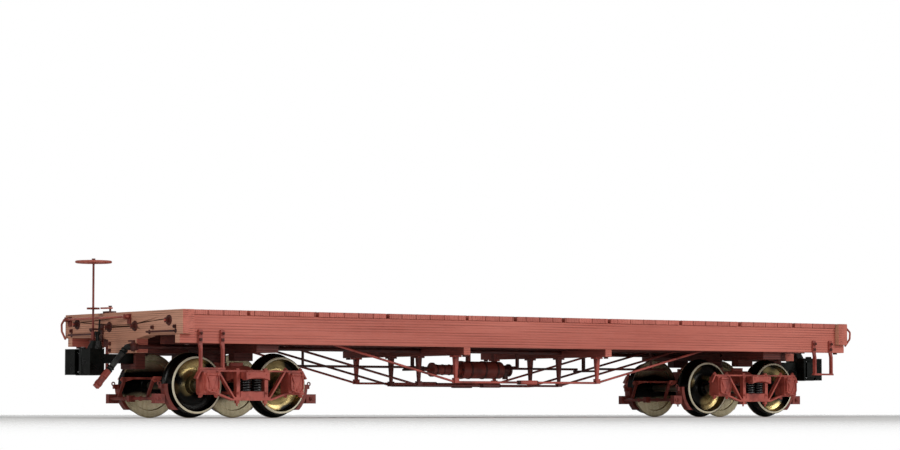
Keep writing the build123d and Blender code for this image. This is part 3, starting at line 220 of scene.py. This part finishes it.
def painted(name, base, dark, light, roughness=(0.38, 0.58), speck=0.00003, outer=None):
    """Satin paint on castings and bars, darker in patches, with a faint cast grain.

    outer is a distance from the centre line and a lighter base colour for everything further out, painted
    light, so that the parts nearer the centre keep the darker base as painted shade.
    """
    s = Surface(name)
    if outer:
        distance, lit_outer_base = outer
        lit_outer_mask = s.math("GREATER_THAN", s.math("ABSOLUTE", s.separate()["Y"]), distance)
        base = s.mix(lit_outer_mask, base, lit_outer_base)
    tone = s.noise(s.scaled((110, 110, 110)), detail=4.0)
    grain = s.noise(s.scaled((1500, 1500, 1500)), detail=3.0, roughness=0.6)
    rubbed = s.noise(s.scaled((260, 260, 260), (1.3, 2.2, 0.7)), detail=4.0, roughness=0.6)
    colour = s.mix(s.span(tone, 0.3, 0.52), dark, base)
    colour = s.mix(s.span(rubbed, 0.52, 0.76, 0.0, 0.5), colour, light)
    normal = s.bump(grain, speck)
    return s.finish(colour, s.span(rubbed, 0.3, 0.7, *roughness), normal, specular=0.4)


HOSE_WRAP_PITCH = 0.0009


def rubber():
    """Hose rubber with the turns of its wrapping."""
    s = Surface("hose_rubber_look")
    weave = s.noise(s.scaled((1800, 1800, 1800)), detail=3.0)
    tone = s.noise(s.scaled((200, 200, 200)), detail=3.0)
    wraps = s.math("SINE", s.math("MULTIPLY", s.separate()["Z"], math.tau / HOSE_WRAP_PITCH))
    colour = s.mix(s.span(tone, 0.4, 0.65), linear(20, 21, 20), linear(62, 64, 58))
    height = s.math("ADD", weave, s.math("MULTIPLY", wraps, 0.3))
    rough = s.span(tone, 0.3, 0.7, 0.36, 0.5)
    return s.finish(colour, rough, s.bump(height, 0.00006))


def black_casting(name, dark, light, roughness=(0.26, 0.44), specular=0.5):
    """Black satin castings with a machined grain that runs up and down."""
    s = Surface(name)
    grain = s.noise(s.scaled((1300, 1300, 1300)), detail=4.0, roughness=0.65)
    marks = s.noise(s.scaled((900, 900, 30)), detail=3.0)
    tone = s.noise(s.scaled((160, 160, 160), (0.2, 0.9, 4.0)), detail=4.0)
    colour = s.mix(s.span(tone, 0.4, 0.68), dark, light)
    colour = s.mix(s.span(marks, 0.5, 0.7, 0.0, 0.5), colour, light)
    rough = s.span(tone, 0.3, 0.7, *roughness)
    return s.finish(colour, rough, s.bump(grain, 0.00005), specular=specular)


# A wheel's look, in metres from its own centre, apart from WHEEL_BACK_Y, which is from the car's.
TREAD_FROM = 0.0144  # radius where the black tread starts
RING_FROM = 0.0146  # radius where the bright ring of the face starts
RING_DEPTH = 0.00035  # how far behind the outer face the bright ring still counts
WHEEL_BACK_Y = 0.0212
BACK_DEPTH = 0.0011  # how far out from the back its brushed finish reaches
# the black band across a wheel's back, between tan above and below it, is a painted reflection
BAND_Z = 0.001  # height of the dark band across the back
BAND_EDGE = (0.0085, 0.0125)  # the band fades out between these distances from its height
BAND_WAVE = 0.006  # how much the band's edge wanders
RINGS_PER_METRE = 9000.0


def turned_wheel(name, centre, face, back):
    """A wheel: thin bright turned ring, black tread, dark dished face with gold patches of painted
    reflection, and a brushed back crossed by a black band of painted reflection.
    """
    s = Surface(name)
    moved = s.scaled((1, 1, 1), (-centre.x, 0, -centre.z))
    flat = s.node("ShaderNodeVectorMath", operation="MULTIPLY")
    s.feed(flat.inputs[0], moved)
    flat.inputs[1].default_value = (1, 0, 1)
    reach = s.node("ShaderNodeVectorMath", operation="LENGTH")
    s.feed(reach.inputs[0], flat.outputs["Vector"])
    radius = reach.outputs["Value"]
    parts = s.separate(moved)
    out = s.math("ABSOLUTE", parts["Y"])
    # turning marks follow the radius; the brushing on the back runs up and down
    marks = s.node("ShaderNodeTexNoise", noise_dimensions="1D")
    s.feed(marks.inputs["W"], s.math("MULTIPLY", radius, RINGS_PER_METRE))
    marks.inputs["Detail"].default_value = 2.0
    brushed = s.noise(s.scaled((420, 100, 36), source=moved), detail=2.0)
    mottled = s.noise(s.scaled((200, 200, 200)), detail=2.0, roughness=0.5)
    patches = s.noise(s.scaled((55, 55, 55), (centre.x * 40, 0.3, 2.0)), detail=1.0)
    bright = s.mix(mottled, linear(236, 230, 208), linear(206, 194, 160))
    # the dish: black with gold patches where the noise above is high, painted reflections on the metal
    dish = s.mix(s.span(patches, 0.48, 0.66), linear(8, 7, 5), linear(190, 166, 110))
    # the back: a wandering black band across the middle of the brushed tan, painted reflection
    level = s.math("ABSOLUTE", s.math("ADD", parts["Z"], -BAND_Z))
    band = s.math("ADD", level, s.math("MULTIPLY", patches, BAND_WAVE))
    tan = s.mix(s.span(brushed, 0.3, 0.7), linear(196, 182, 146), linear(220, 208, 174))
    back_painted_reflection = s.mix(s.span(band, *BAND_EDGE), linear(9, 8, 7), tan)
    black = s.mix(mottled, linear(7, 7, 6), linear(20, 19, 17))
    on_back = s.math("LESS_THAN", out, back + BACK_DEPTH)
    outside = s.math("GREATER_THAN", radius, RING_FROM)
    rim_face = s.math("MULTIPLY", outside, s.math("GREATER_THAN", out, face - RING_DEPTH))
    tread = s.math("GREATER_THAN", radius, TREAD_FROM)
    colour = s.mix(tread, dish, black)
    colour = s.mix(on_back, colour, back_painted_reflection)
    colour = s.mix(rim_face, colour, bright)
    rings = s.math("MULTIPLY", marks.outputs["Fac"], s.math("SUBTRACT", 1.0, on_back))
    normal = s.bump(rings, 0.000015)
    rough = s.mix(rim_face, s.span(mottled, 0.3, 0.7, 0.2, 0.26), (0.5, 0.5, 0.5, 1.0))
    metal = s.span(rim_face, 0.0, 1.0, 0.8, 0.15)
    return s.finish(colour, rough, normal, metallic=metal, specular=0.5)


def steel():
    """Turned steel: fine rings round the axle."""
    s = Surface("axle_steel_look")
    marks = s.noise(s.scaled((60, 4200, 60)), detail=2.0)
    colour = s.mix(marks, linear(96, 88, 76), linear(150, 140, 124))
    return s.finish(colour, s.span(marks, 0.3, 0.7, 0.28, 0.4), s.bump(marks, 0.00002), metallic=0.85)


PLANK_PITCH = 0.0096958
SILL_BASE, SILL_LIGHT = linear(186, 99, 84), linear(204, 116, 100)
BEAM_BASE, BEAM_LIGHT = linear(196, 138, 112), linear(216, 162, 136)
SILL = timber("sill_look", SILL_BASE, linear(122, 54, 44), SILL_LIGHT,
              "X", "Z", 0.00150, 5.0, cut_ends=("X", BEAM_BASE, BEAM_LIGHT))
DECK = timber("deck_look", linear(176, 92, 78), linear(112, 50, 41), linear(194, 110, 94),
              "Y", "X", 0.00120, 9.0, plank_pitch=PLANK_PITCH,
              cut_ends=("Y", linear(204, 110, 96), linear(216, 126, 110)))
ENDS = timber("end_beam_look", BEAM_BASE, linear(96, 56, 43), BEAM_LIGHT,
              "Y", "Z", 0.00105, 26.0, depth=0.00016, cut_ends=("Y", SILL_BASE, SILL_LIGHT))
# the underframe timbers take a much darker copy of the sill red: painted shade under the car
UNDERFRAME_IN_PAINTED_SHADE = timber("underframe_painted_shade_look", linear(78, 30, 23), linear(44, 15, 11), linear(98, 42, 34),
               "X", "Z", 0.00160, 6.0)
# the needle beams: a darker copy of the sill red on the faces under the deck, painted shade, and the sill
# red itself on their ends
BEARER_IN_PAINTED_SHADE = timber("bearer_painted_shade_look", linear(122, 56, 46), linear(66, 26, 20), linear(148, 74, 62),
                "Y", "Z", 0.00110, 9.0, cut_ends=("Y", SILL_BASE, SILL_LIGHT))
IRON = painted("iron_look", linear(128, 54, 44), linear(84, 32, 26), linear(166, 88, 74))
STEP = painted("step_look", linear(152, 66, 55), linear(106, 41, 34), linear(184, 98, 84))
LEVER = painted("lever_look", linear(172, 88, 73), linear(134, 60, 50), linear(214, 138, 120))
IRON_DARK = painted("iron_dark_look", linear(78, 33, 27), linear(46, 18, 14), linear(112, 56, 46))
TRUCK = painted("truck_look", linear(176, 82, 69), linear(128, 52, 44), linear(214, 122, 106))
# rods and posts near the centre line keep a dark base, painted shade under the car; the outer ones take a
# lighter base, painted light
ROD = painted("rod_look", linear(104, 44, 37), linear(92, 36, 30), linear(170, 82, 70),
              outer=(0.04, linear(176, 80, 68)))
RUBBER = rubber()
COUPLER = black_casting("coupler_look", linear(1, 2, 1), linear(15, 18, 15), (0.24, 0.4), 0.18)
SPRING = black_casting("spring_look", linear(7, 7, 8), linear(22, 22, 24), (0.16, 0.28), 0.7)
AXLE = steel()

ENDS_OF_CAR = ("a", "b")
BRAKE_BEAMS = [f"brake_beam_{end}{number}" for end in ENDS_OF_CAR for number in (1, 2)]
LOOKS = {
    SILL: ["side_sills"],
    DECK: ["deck_planks"],
    ENDS: ["end_beams"],
    UNDERFRAME_IN_PAINTED_SHADE: ["center_sills", "body_bolsters", "draft_blocks"],
    BEARER_IN_PAINTED_SHADE: ["needle_beams"],
    IRON: [
        "brake_cylinder", "air_reservoir", "lever_brackets", "brake_staff",
        "ratchet_wheel",
    ]
    + BRAKE_BEAMS,
    LEVER: ["cut_lever_a", "cut_lever_b", "brake_wheel", "brake_pawl"],
    IRON_DARK: [
        "nuts_and_washers", "grab_irons", "triple_valve", "brake_rigging", "train_pipe", "staff_brackets",
        "brake_chain",
    ],
    ROD: ["truss_rods", "queen_posts", "turnbuckles", "pivot_pins"],
    STEP: ["step_irons", "glad_hands"],
    RUBBER: ["air_hoses"],
    COUPLER: [
        f"{name}_{end}"
        for end in ENDS_OF_CAR
        for name in ("coupler_body", "knuckle_pin", "knuckle", "lock_pin")
    ],
    TRUCK: [
        f"{name}_{end}"
        for end in ENDS_OF_CAR
        for name in ("truck_bolster", "side_frames", "journal_boxes", "spring_plank")
    ],
    SPRING: ["truck_springs_a", "truck_springs_b"],
    AXLE: [f"axle_{end}{number}" for end in ENDS_OF_CAR for number in (1, 2)],
}
SOFTENED = {
    "side_sills": 0.00025,
    "end_beams": 0.00035,
    "deck_planks": 0.00012,
    "draft_blocks": 0.0003,
    "needle_beams": 0.0003,
    "step_irons": 0.00015,
    "coupler_body_a": 0.0003,
    "coupler_body_b": 0.0003,
    "knuckle_a": 0.0003,
    "knuckle_b": 0.0003,
    "journal_boxes_a": 0.0002,
    "journal_boxes_b": 0.0002,
    "side_frames_a": 0.00012,
    "side_frames_b": 0.00012,
    "truck_bolster_a": 0.00025,
    "truck_bolster_b": 0.00025,
}


def dress(node, material):
    """Give a CAD node one material in place of its plain one."""
    mesh_object = nodes[node]
    for slot in mesh_object.material_slots:
        slot.material = material
    if not mesh_object.material_slots:
        mesh_object.data.materials.append(material)


def soften(node, width=0.00015):
    """Round a CAD node's sharp edges a little, as moulded and cast edges are."""
    mesh_object = nodes[node]
    weld = mesh_object.modifiers.new("weld", "WELD")
    weld.merge_threshold = 1e-6
    bevel = mesh_object.modifiers.new("bevel", "BEVEL")
    bevel.width = width
    bevel.segments = 2
    bevel.limit_method = "ANGLE"
    bevel.angle_limit = math.radians(40)
    bevel.harden_normals = False


for look, names in LOOKS.items():
    for name in names:
        dress(name, look)

for name, width in SOFTENED.items():
    soften(name, width)

for end in ENDS_OF_CAR:
    for number in (1, 2):
        name = f"wheels_{end}{number}"
        low, high = (Vector(corner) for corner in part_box(name))
        look = turned_wheel(f"{name}_look", (low + high) / 2, high.y, WHEEL_BACK_Y)
        dress(name, look)

# ---- fine hardware -----------------------------------------------------------------------

SQUARE, HEX, ROUND = 4, 6, 14


class Hardware:
    """Small turned, forged and cast pieces of one body, gathered in one mesh."""

    def __init__(self):
        self.mesh = bmesh.new()

    def turned(self, profile, place, axis, sides=ROUND):
        """Turn (radius, height) pairs round an axis that starts at a place; sides 4 or 6 make nuts."""
        way = Vector(axis).normalized()
        side = way.orthogonal().normalized()
        if abs(way.x) > 0.9 or abs(way.y) > 0.9:
            side = Vector((0, 0, 1))
        other = way.cross(side)
        rings = []
        for radius, height in profile:
            ring = []
            for step in range(sides):
                angle = math.tau * (step + 0.5) / sides
                spot = side * math.cos(angle) + other * math.sin(angle)
                ring.append(self.mesh.verts.new(Vector(place) + way * height + spot * radius))
            rings.append(ring)
        for low, high in zip(rings, rings[1:]):
            for step in range(sides):
                after = (step + 1) % sides
                self.mesh.faces.new((low[step], low[after], high[after], high[step]))
        self.mesh.faces.new(rings[-1])
        self.mesh.faces.new(list(reversed(rings[0])))

    def nut(self, place, axis, across, thick, sides=SQUARE, bolt=True):
        """A nut with a chamfered face, and the bolt's rounded end standing out of it."""
        corner = across / 2 / math.cos(math.pi / sides)
        self.turned([(corner, 0), (corner, thick * 0.72), (corner * 0.82, thick)], place, axis, sides)
        if bolt:
            end = across * 0.27
            profile = [(end, thick * 0.9), (end, thick * 1.3), (end * 0.6, thick * 1.5)]
            self.turned(profile, place, axis, 10)

    def dome(self, place, axis, radius, height, sides=ROUND):
        """A rivet or nail head."""
        steps = ((1, 0), (0.9, 0.5), (0.5, 0.92), (0.1, 1))
        profile = [(radius * across, height * up) for across, up in steps]
        self.turned(profile, place, axis, sides)

    def washer(self, place, axis, radius, thick):
        """A cast washer: a stepped and rounded disc."""
        profile = [(radius, 0), (radius, thick * 0.4), (radius * 0.86, thick * 0.75), (radius * 0.6, thick)]
        self.turned(profile, place, axis, 20)

    def band(self, centre, axis, inner, outer, width):
        """A hoop round something, with rounded edges."""
        way = Vector(axis).normalized()
        side = way.orthogonal().normalized()
        other = way.cross(side)
        soft = (outer - inner) * 0.35
        section = [
            (inner, -width / 2), (outer - soft, -width / 2), (outer, -width / 2 + soft),
            (outer, width / 2 - soft), (outer - soft, width / 2), (inner, width / 2),
        ]
        count = 32
        rings = []
        for step in range(count):
            angle = math.tau * step / count
            spot = side * math.cos(angle) + other * math.sin(angle)
            ring = [self.mesh.verts.new(Vector(centre) + spot * r + way * h) for r, h in section]
            rings.append(ring)
        for step in range(count):
            ring, after = rings[step], rings[(step + 1) % count]
            for index in range(len(section)):
                follow = (index + 1) % len(section)
                self.mesh.faces.new((ring[index], ring[follow], after[follow], after[index]))

    def strip(self, start, end, width, height, out):
        """A raised rib between two points of a surface, with sloping sides; out is the way up."""
        start, end, out = Vector(start), Vector(end), Vector(out).normalized()
        along = (end - start).normalized()
        across = along.cross(out).normalized()
        low, high = width / 2, width * 0.3
        corners = []
        for spot, sign in ((start, -1), (end, 1)):
            for half, rise, pull in ((low, 0, 0), (high, height, width * 0.25)):
                for turn in (-1, 1):
                    corners.append(
                        self.mesh.verts.new(spot + across * half * turn + out * rise - along * sign * pull)
                    )
        a, b, c, d, e, f, g, h = corners
        for face in ((a, b, d, c), (e, g, h, f), (a, c, g, e), (b, f, h, d), (c, d, h, g), (a, e, f, b)):
            self.mesh.faces.new(face)

    def coil(self, foot, radius, wire, height, turns):
        """A helical spring with its end turns laid flat."""
        steps, sides = 26, 9
        count = int(steps * turns)
        rings = []
        for step in range(count + 1):
            share = step / count
            lift = min(max((share * turns - 0.6) / (turns - 1.2), 0.0), 1.0)
            angle = math.tau * share * turns
            spoke = Vector((math.cos(angle), math.sin(angle), 0))
            centre = Vector(foot) + spoke * radius + Vector((0, 0, wire + lift * (height - 2 * wire)))
            ring = []
            for side in range(sides):
                turn = math.tau * side / sides
                spot = spoke * math.cos(turn) + Vector((0, 0, math.sin(turn)))
                ring.append(self.mesh.verts.new(centre + spot * wire))
            rings.append(ring)
        for low, high in zip(rings, rings[1:]):
            for side in range(sides):
                after = (side + 1) % sides
                self.mesh.faces.new((low[side], high[side], high[after], low[after]))
        self.mesh.faces.new(rings[0])
        self.mesh.faces.new(list(reversed(rings[-1])))

    def fit(self, name, body, material, smooth=35):
        """Make the piece, let it ride on a body and give it the material passed in."""
        bmesh.ops.recalc_face_normals(self.mesh, faces=self.mesh.faces)
        data = bpy.data.meshes.new(name)
        self.mesh.to_mesh(data)
        self.mesh.free()
        data.polygons.foreach_set("use_smooth", [True] * len(data.polygons))
        data.set_sharp_from_angle(angle=math.radians(smooth))
        data.materials.append(material)
        piece = bpy.data.objects.new(name, data)
        bpy.context.collection.objects.link(piece)
        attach(piece, body)
        return piece


def both(value):
    return (-value, value)


# The places below are those of the CAD model, in millimetres.
HALF_LENGTH = 240.25
DECK_TOP = 58.0
PLANKS = 48
SILL_YS = (7.0, 31.5, 59.75)
NEEDLE_X = 51.5
NEEDLE_BOTTOM = 34.5
ROD_YS = (51.0, 14.2)
ROD_END_ZS = (52.4, 50.1)
ROD_LOW_ZS = (20.3, 18.7)
BUCKLE_END_X = 6.0
GRAB_YS = (30.0, 58.0)
GRAB_Z = 46.5
STEP_XS = (214.3, 228.0)
STEP_FACE_Y = 63.35
STEP_BOLT_Z = 41.9
STEP_NUT_Z = 45.3
TANK_Y, TANK_Z = -6.0, 28.0
TANK_HEAD_X = -16.3
TANK_BOLT_R = 4.5
TANK_BANDS = (-10.0, 0.2, 9.0)
CYLINDER_BANDS = (-33.6, -28.8, -24.0, -19.2)
DRAFT_BOLT_X = 225.0
POCKET_FACE_X = 236.4
POCKET_WALL_Y = 7.2
POCKET_TOP = 35.5
PIPE_Y = 19.0
TRUCK_X = 183.1
AXLE_X = 27.1
FRAME_MID_Y = 41.9
BOX_FACE_Y = 46.4
SPRING_X = 3.5
SPRING_Y = 41.9
SEAT_Z = 14.5
SPRING_HEIGHT = 6.9
BOLSTER_FACE_Y = 49.4
SHOE_X = 48.8
BRAKE_BEAM_X = 50.4
BRAKE_BEAM_Z = 10.6
BOX_BOLT_X = 4.9
TOP_BAR_Z = 26.05
TIE_BAR_Z = 12.7
COLUMN_X = 9.0
COLUMN_FACE_Y = 43.4


def mm(*values):
    return tuple(value * MM for value in values)


# nail heads in the deck, two in each plank over each sill
nails = Hardware()
dice = random.Random(20)
for plank in range(PLANKS):
    x = (plank - (PLANKS - 1) / 2) * PLANK_PITCH
    for y in SILL_YS:
        for side in (-1, 1):
            for shift in both(0.0024):
                spot = (
                    x + shift + dice.uniform(-0.0003, 0.0003),
                    side * y * MM + dice.uniform(-0.0006, 0.0006),
                    DECK_TOP * MM,
                )
                nails.dome(spot, (0, 0, 1), 0.00042, 0.00016, 8)
nails.fit("deck_nails", "car_body", IRON_DARK)

# bolts of the frame, the steps, the posts, the tanks and the turnbuckles
bolts = Hardware()
for x in both(HALF_LENGTH):
    out = (math.copysign(1, x), 0, 0)
    for y, z in zip(ROD_YS, ROD_END_ZS):
        for side in (-1, 1):
            bolts.washer(mm(x, side * y, z), out, 0.0029, 0.0007)
    for y in GRAB_YS:
        for side in (-1, 1):
            bolts.dome(mm(x, side * y, GRAB_Z), out, 0.0012, 0.0006)
for x in STEP_XS:
    for way in (-1, 1):
        for side in (-1, 1):
            bolts.nut(mm(way * x, side * STEP_FACE_Y, STEP_BOLT_Z), (0, side, 0), 0.0016, 0.0009)
            bolts.nut(mm(way * x, side * STEP_FACE_Y, STEP_NUT_Z), (0, side, 0), 0.0016, 0.0014, HEX)
for x in both(NEEDLE_X):
    for y in ROD_YS:
        for side in (-1, 1):
            for shift in both(1.7):
                spot = mm(x + shift, side * y + shift, NEEDLE_BOTTOM)
                bolts.nut(spot, (0, 0, -1), 0.0010, 0.0007, HEX)
for y, low in zip(ROD_YS, ROD_LOW_ZS):
    for side in (-1, 1):
        for way in (-1, 1):
            spot = mm(way * BUCKLE_END_X, side * y, low)
            bolts.nut(spot, (way, 0, 0), 0.0023, 0.0014, HEX, bolt=False)
for step in range(6):
    angle = math.tau * step / 6
    round_y = TANK_Y + TANK_BOLT_R * math.cos(angle)
    round_z = TANK_Z + TANK_BOLT_R * math.sin(angle)
    bolts.nut(mm(TANK_HEAD_X, round_y, round_z), (-1, 0, 0), 0.0013, 0.0008, HEX)
for x in TANK_BANDS:
    bolts.band(mm(x, TANK_Y, TANK_Z), (1, 0, 0), 0.0050, 0.0054, 0.0014)
for x in CYLINDER_BANDS:
    bolts.band(mm(x, TANK_Y, TANK_Z), (1, 0, 0), 0.0029, 0.00325, 0.0007)
for side in (-1, 1):
    bolts.nut(mm(side * DRAFT_BOLT_X, 0, POCKET_TOP), (0, 0, -1), 0.0022, 0.0010)
    for y in both(POCKET_WALL_Y):
        for z in (29.2, 33.6):
            bolts.dome(mm(side * POCKET_FACE_X, y, z), (side, 0, 0), 0.0008, 0.0005)
bolts.fit("frame_bolts", "car_body", IRON_DARK)

# clamps on the air hoses
HOSE_WAY = Vector((0.657, 0, -0.754))
CLAMP_PLACES = ((249.4, 36.8), (250.6, 35.4), (257.7, 27.2), (258.8, 26.0))
clamps = Hardware()
for way in (-1, 1):
    run = Vector((way * HOSE_WAY.x, 0, HOSE_WAY.z))
    for x, z in CLAMP_PLACES:
        clamps.band(mm(way * x, way * PIPE_Y, z), run, 0.0015, 0.0020, 0.0009)
    clamps.nut(mm(way * 250.0, way * PIPE_Y - 1.9, 36.1), (0, -1, 0), 0.0012, 0.0008, HEX)
clamps.fit("hose_clamps", "car_body", COUPLER)

for end, turn in (("a", -1), ("b", 1)):
    middle = turn * TRUCK_X

    springs = Hardware()
    for side in (-1, 1):
        for shift in both(SPRING_X):
            foot = mm(middle + shift, side * SPRING_Y, SEAT_Z)
            springs.coil(foot, 0.0026, 0.00058, SPRING_HEIGHT * MM, 5.2)
            springs.coil(foot, 0.0013, 0.00038, SPRING_HEIGHT * MM, 7.2)
    coils = springs.fit(f"coil_springs_{end}", f"truck_frame_{end}", SPRING, 60)
    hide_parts(f"truck_springs_{end}")
    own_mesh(coils)

    fittings = Hardware()
    for side in (-1, 1):
        out = (0, side, 0)
        y = side * BOX_FACE_Y
        for box in both(AXLE_X):
            x = middle + box
            # the lid's border, its two crossing ribs, its hinge lugs and its rivets
            for x0, z0, x1, z1 in (
                (-3.9, 23.0, -3.9, 15.9),
                (3.9, 23.0, 3.9, 15.9),
                (-3.9, 15.9, -1.9, 14.3),
                (3.9, 15.9, 1.9, 14.3),
                (-1.9, 14.3, 1.9, 14.3),
                (-3.2, 22.6, -0.6, 16.4),
                (3.2, 22.6, 0.6, 16.4),
            ):
                fittings.strip(mm(x + x0, y, z0), mm(x + x1, y, z1), 0.0007, 0.0006, out)
            for shift in both(3.2):
                fittings.band(mm(x + shift, y, 23.6), (1, 0, 0), 0.0004, 0.0010, 0.0011)
            for shift, z in ((-3.3, 15.2), (3.3, 15.2), (0, 15.3)):
                fittings.dome(mm(x + shift, side * 46.3, z), out, 0.0006, 0.0007, 10)
            # box bolts: nuts on the top bar and under the tie bar
            for shift in both(BOX_BOLT_X):
                spot = x + shift
                fittings.nut(mm(spot, side * FRAME_MID_Y, TOP_BAR_Z), (0, 0, 1), 0.0019, 0.0011)
                fittings.nut(mm(spot, side * FRAME_MID_Y, TIE_BAR_Z), (0, 0, -1), 0.0019, 0.0011)
        for shift in both(COLUMN_X):
            spot = middle + shift
            fittings.nut(mm(spot, side * COLUMN_FACE_Y, 13.6), out, 0.0013, 0.0006, HEX)
            fittings.dome(mm(spot, side * COLUMN_FACE_Y, 23.2), out, 0.0006, 0.0004, 10)
    fittings.fit(f"box_fittings_{end}", f"truck_frame_{end}", TRUCK)

    rivets = Hardware()
    for side in (-1, 1):
        for shift in both(5.6):
            face = mm(middle + shift, side * BOLSTER_FACE_Y, 23.8)
            rivets.dome(face, (0, side, 0), 0.0006, 0.0004, 10)
            rivets.nut(mm(middle + shift, side * 46.8, 25.0), (0, 0, 1), 0.0014, 0.0008)
    rivets.fit(f"bolster_rivets_{end}", f"truck_{end}", TRUCK)

    for number, way in ((1, -1), (2, 1)):
        head = Hardware()
        for side in (-1, 1):
            spot = middle + way * SHOE_X
            head.nut(mm(spot, side * 23.7, BRAKE_BEAM_Z), (0, -side, 0), 0.0020, 0.0009)
            head.nut(mm(spot, side * 27.1, BRAKE_BEAM_Z), (0, side, 0), 0.0020, 0.0009)
        for shift in both(9.0):
            place = mm(middle + way * BRAKE_BEAM_X, shift, BRAKE_BEAM_Z)
            head.band(place, (0, 1, 0), 0.00085, 0.00125, 0.0012)
        head.fit(f"brake_fittings_{end}{number}", f"brake_{end}{number}", IRON)

# ---- floor, light and camera -------------------------------------------------------------


def area_light(name, place, target, size, power, tint=(1.0, 1.0, 1.0)):
    data = bpy.data.lights.new(name, "AREA")
    data.shape = "RECTANGLE"
    data.size, data.size_y = size
    data.energy = power
    data.color = tint
    lamp = bpy.data.objects.new(name, data)
    bpy.context.collection.objects.link(lamp)
    lamp.location = place
    lamp.rotation_euler = (Vector(target) - Vector(place)).to_track_quat("-Z", "Y").to_euler()
    return lamp


FLOOR_HALF = 3.0
FLOOR_CLEAR_FROM = 0.35
FLOOR_GONE_AT = 1.3


def make_floor():
    """A pale floor, which shows from above only."""
    mesh = bpy.data.meshes.new("floor")
    half = FLOOR_HALF
    corners = [(-half, -half, 0), (half, -half, 0), (half, half, 0), (-half, half, 0)]
    mesh.from_pydata(corners, [], [(0, 1, 2, 3)])
    floor = bpy.data.objects.new("floor", mesh)
    bpy.context.collection.objects.link(floor)
    s = Surface("floor_look")
    grain = s.noise(s.scaled((90, 90, 90)), detail=3.0)
    s.finish(s.mix(grain, linear(240, 239, 237), linear(248, 248, 246)), 0.6, s.bump(grain, 0.0002))
    clear = s.node("ShaderNodeBsdfTransparent")
    reach = s.node("ShaderNodeVectorMath", operation="LENGTH")
    s.feed(reach.inputs[0], s.coords)
    fade = s.node("ShaderNodeMapRange", interpolation_type="SMOOTHSTEP")
    s.feed(fade.inputs["Value"], reach.outputs["Value"])
    fade.inputs["From Min"].default_value = FLOOR_CLEAR_FROM
    fade.inputs["From Max"].default_value = FLOOR_GONE_AT
    below = s.node("ShaderNodeNewGeometry").outputs["Backfacing"]
    blend = s.node("ShaderNodeMixShader")
    s.feed(blend.inputs["Fac"], s.math("MAXIMUM", below, fade.outputs["Result"]))
    s.feed(blend.inputs[1], s.shader.outputs["BSDF"])
    s.feed(blend.inputs[2], clear.outputs["BSDF"])
    s.feed(s.tree.nodes["Material Output"].inputs["Surface"], blend.outputs["Shader"])
    mesh.materials.append(s.material)
    floor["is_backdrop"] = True


make_floor()
area_light("key", (1.0, -1.9, 1.0), (0, 0, 0.04), (1.0, 1.0), 25)
area_light("end", (-2.1, -0.4, 0.9), (-0.2, 0, 0.04), (0.8, 0.8), 13)
area_light("back", (0.6, 1.7, 1.3), (0, 0, 0.04), (1.4, 1.0), 10)
area_light("low", (-0.9, -1.6, 0.14), (0, 0, 0.03), (0.9, 0.15), 3)

AMBIENT = 0.20
world = bpy.data.worlds.new("studio")
world.use_nodes = True
backdrop = world.node_tree.nodes["Background"]
backdrop.inputs["Color"].default_value = (1, 1, 1, 1)
seen = world.node_tree.nodes.new("ShaderNodeLightPath").outputs["Is Camera Ray"]
level = world.node_tree.nodes.new("ShaderNodeMapRange")
world.node_tree.links.new(seen, level.inputs["Value"])
level.inputs["To Min"].default_value = AMBIENT
level.inputs["To Max"].default_value = 1.0
world.node_tree.links.new(level.outputs["Result"], backdrop.inputs["Strength"])
bpy.context.scene.world = world
bpy.context.scene.view_settings.view_transform = "Standard"

SENSOR_MM = 36.0
LENS_MM = 117.31
CAMERA_PLACE = (-1.0322, -1.4129, 0.00438)
YAW = math.radians(35.648)
PITCH = math.radians(3.609)

camera_data = bpy.data.cameras.new("camera")
camera_data.sensor_width = SENSOR_MM
camera_data.lens = LENS_MM
camera_data.clip_start = 0.05
camera_data.clip_end = 20.0
camera = bpy.data.objects.new("camera", camera_data)
bpy.context.collection.objects.link(camera)
camera.location = CAMERA_PLACE
view_way = Vector(
    (
        math.sin(YAW) * math.cos(PITCH),
        math.cos(YAW) * math.cos(PITCH),
        math.sin(PITCH),
    )
)
camera.rotation_euler = view_way.to_track_quat("-Z", "Y").to_euler()
bpy.context.scene.camera = camera

low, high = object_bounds()
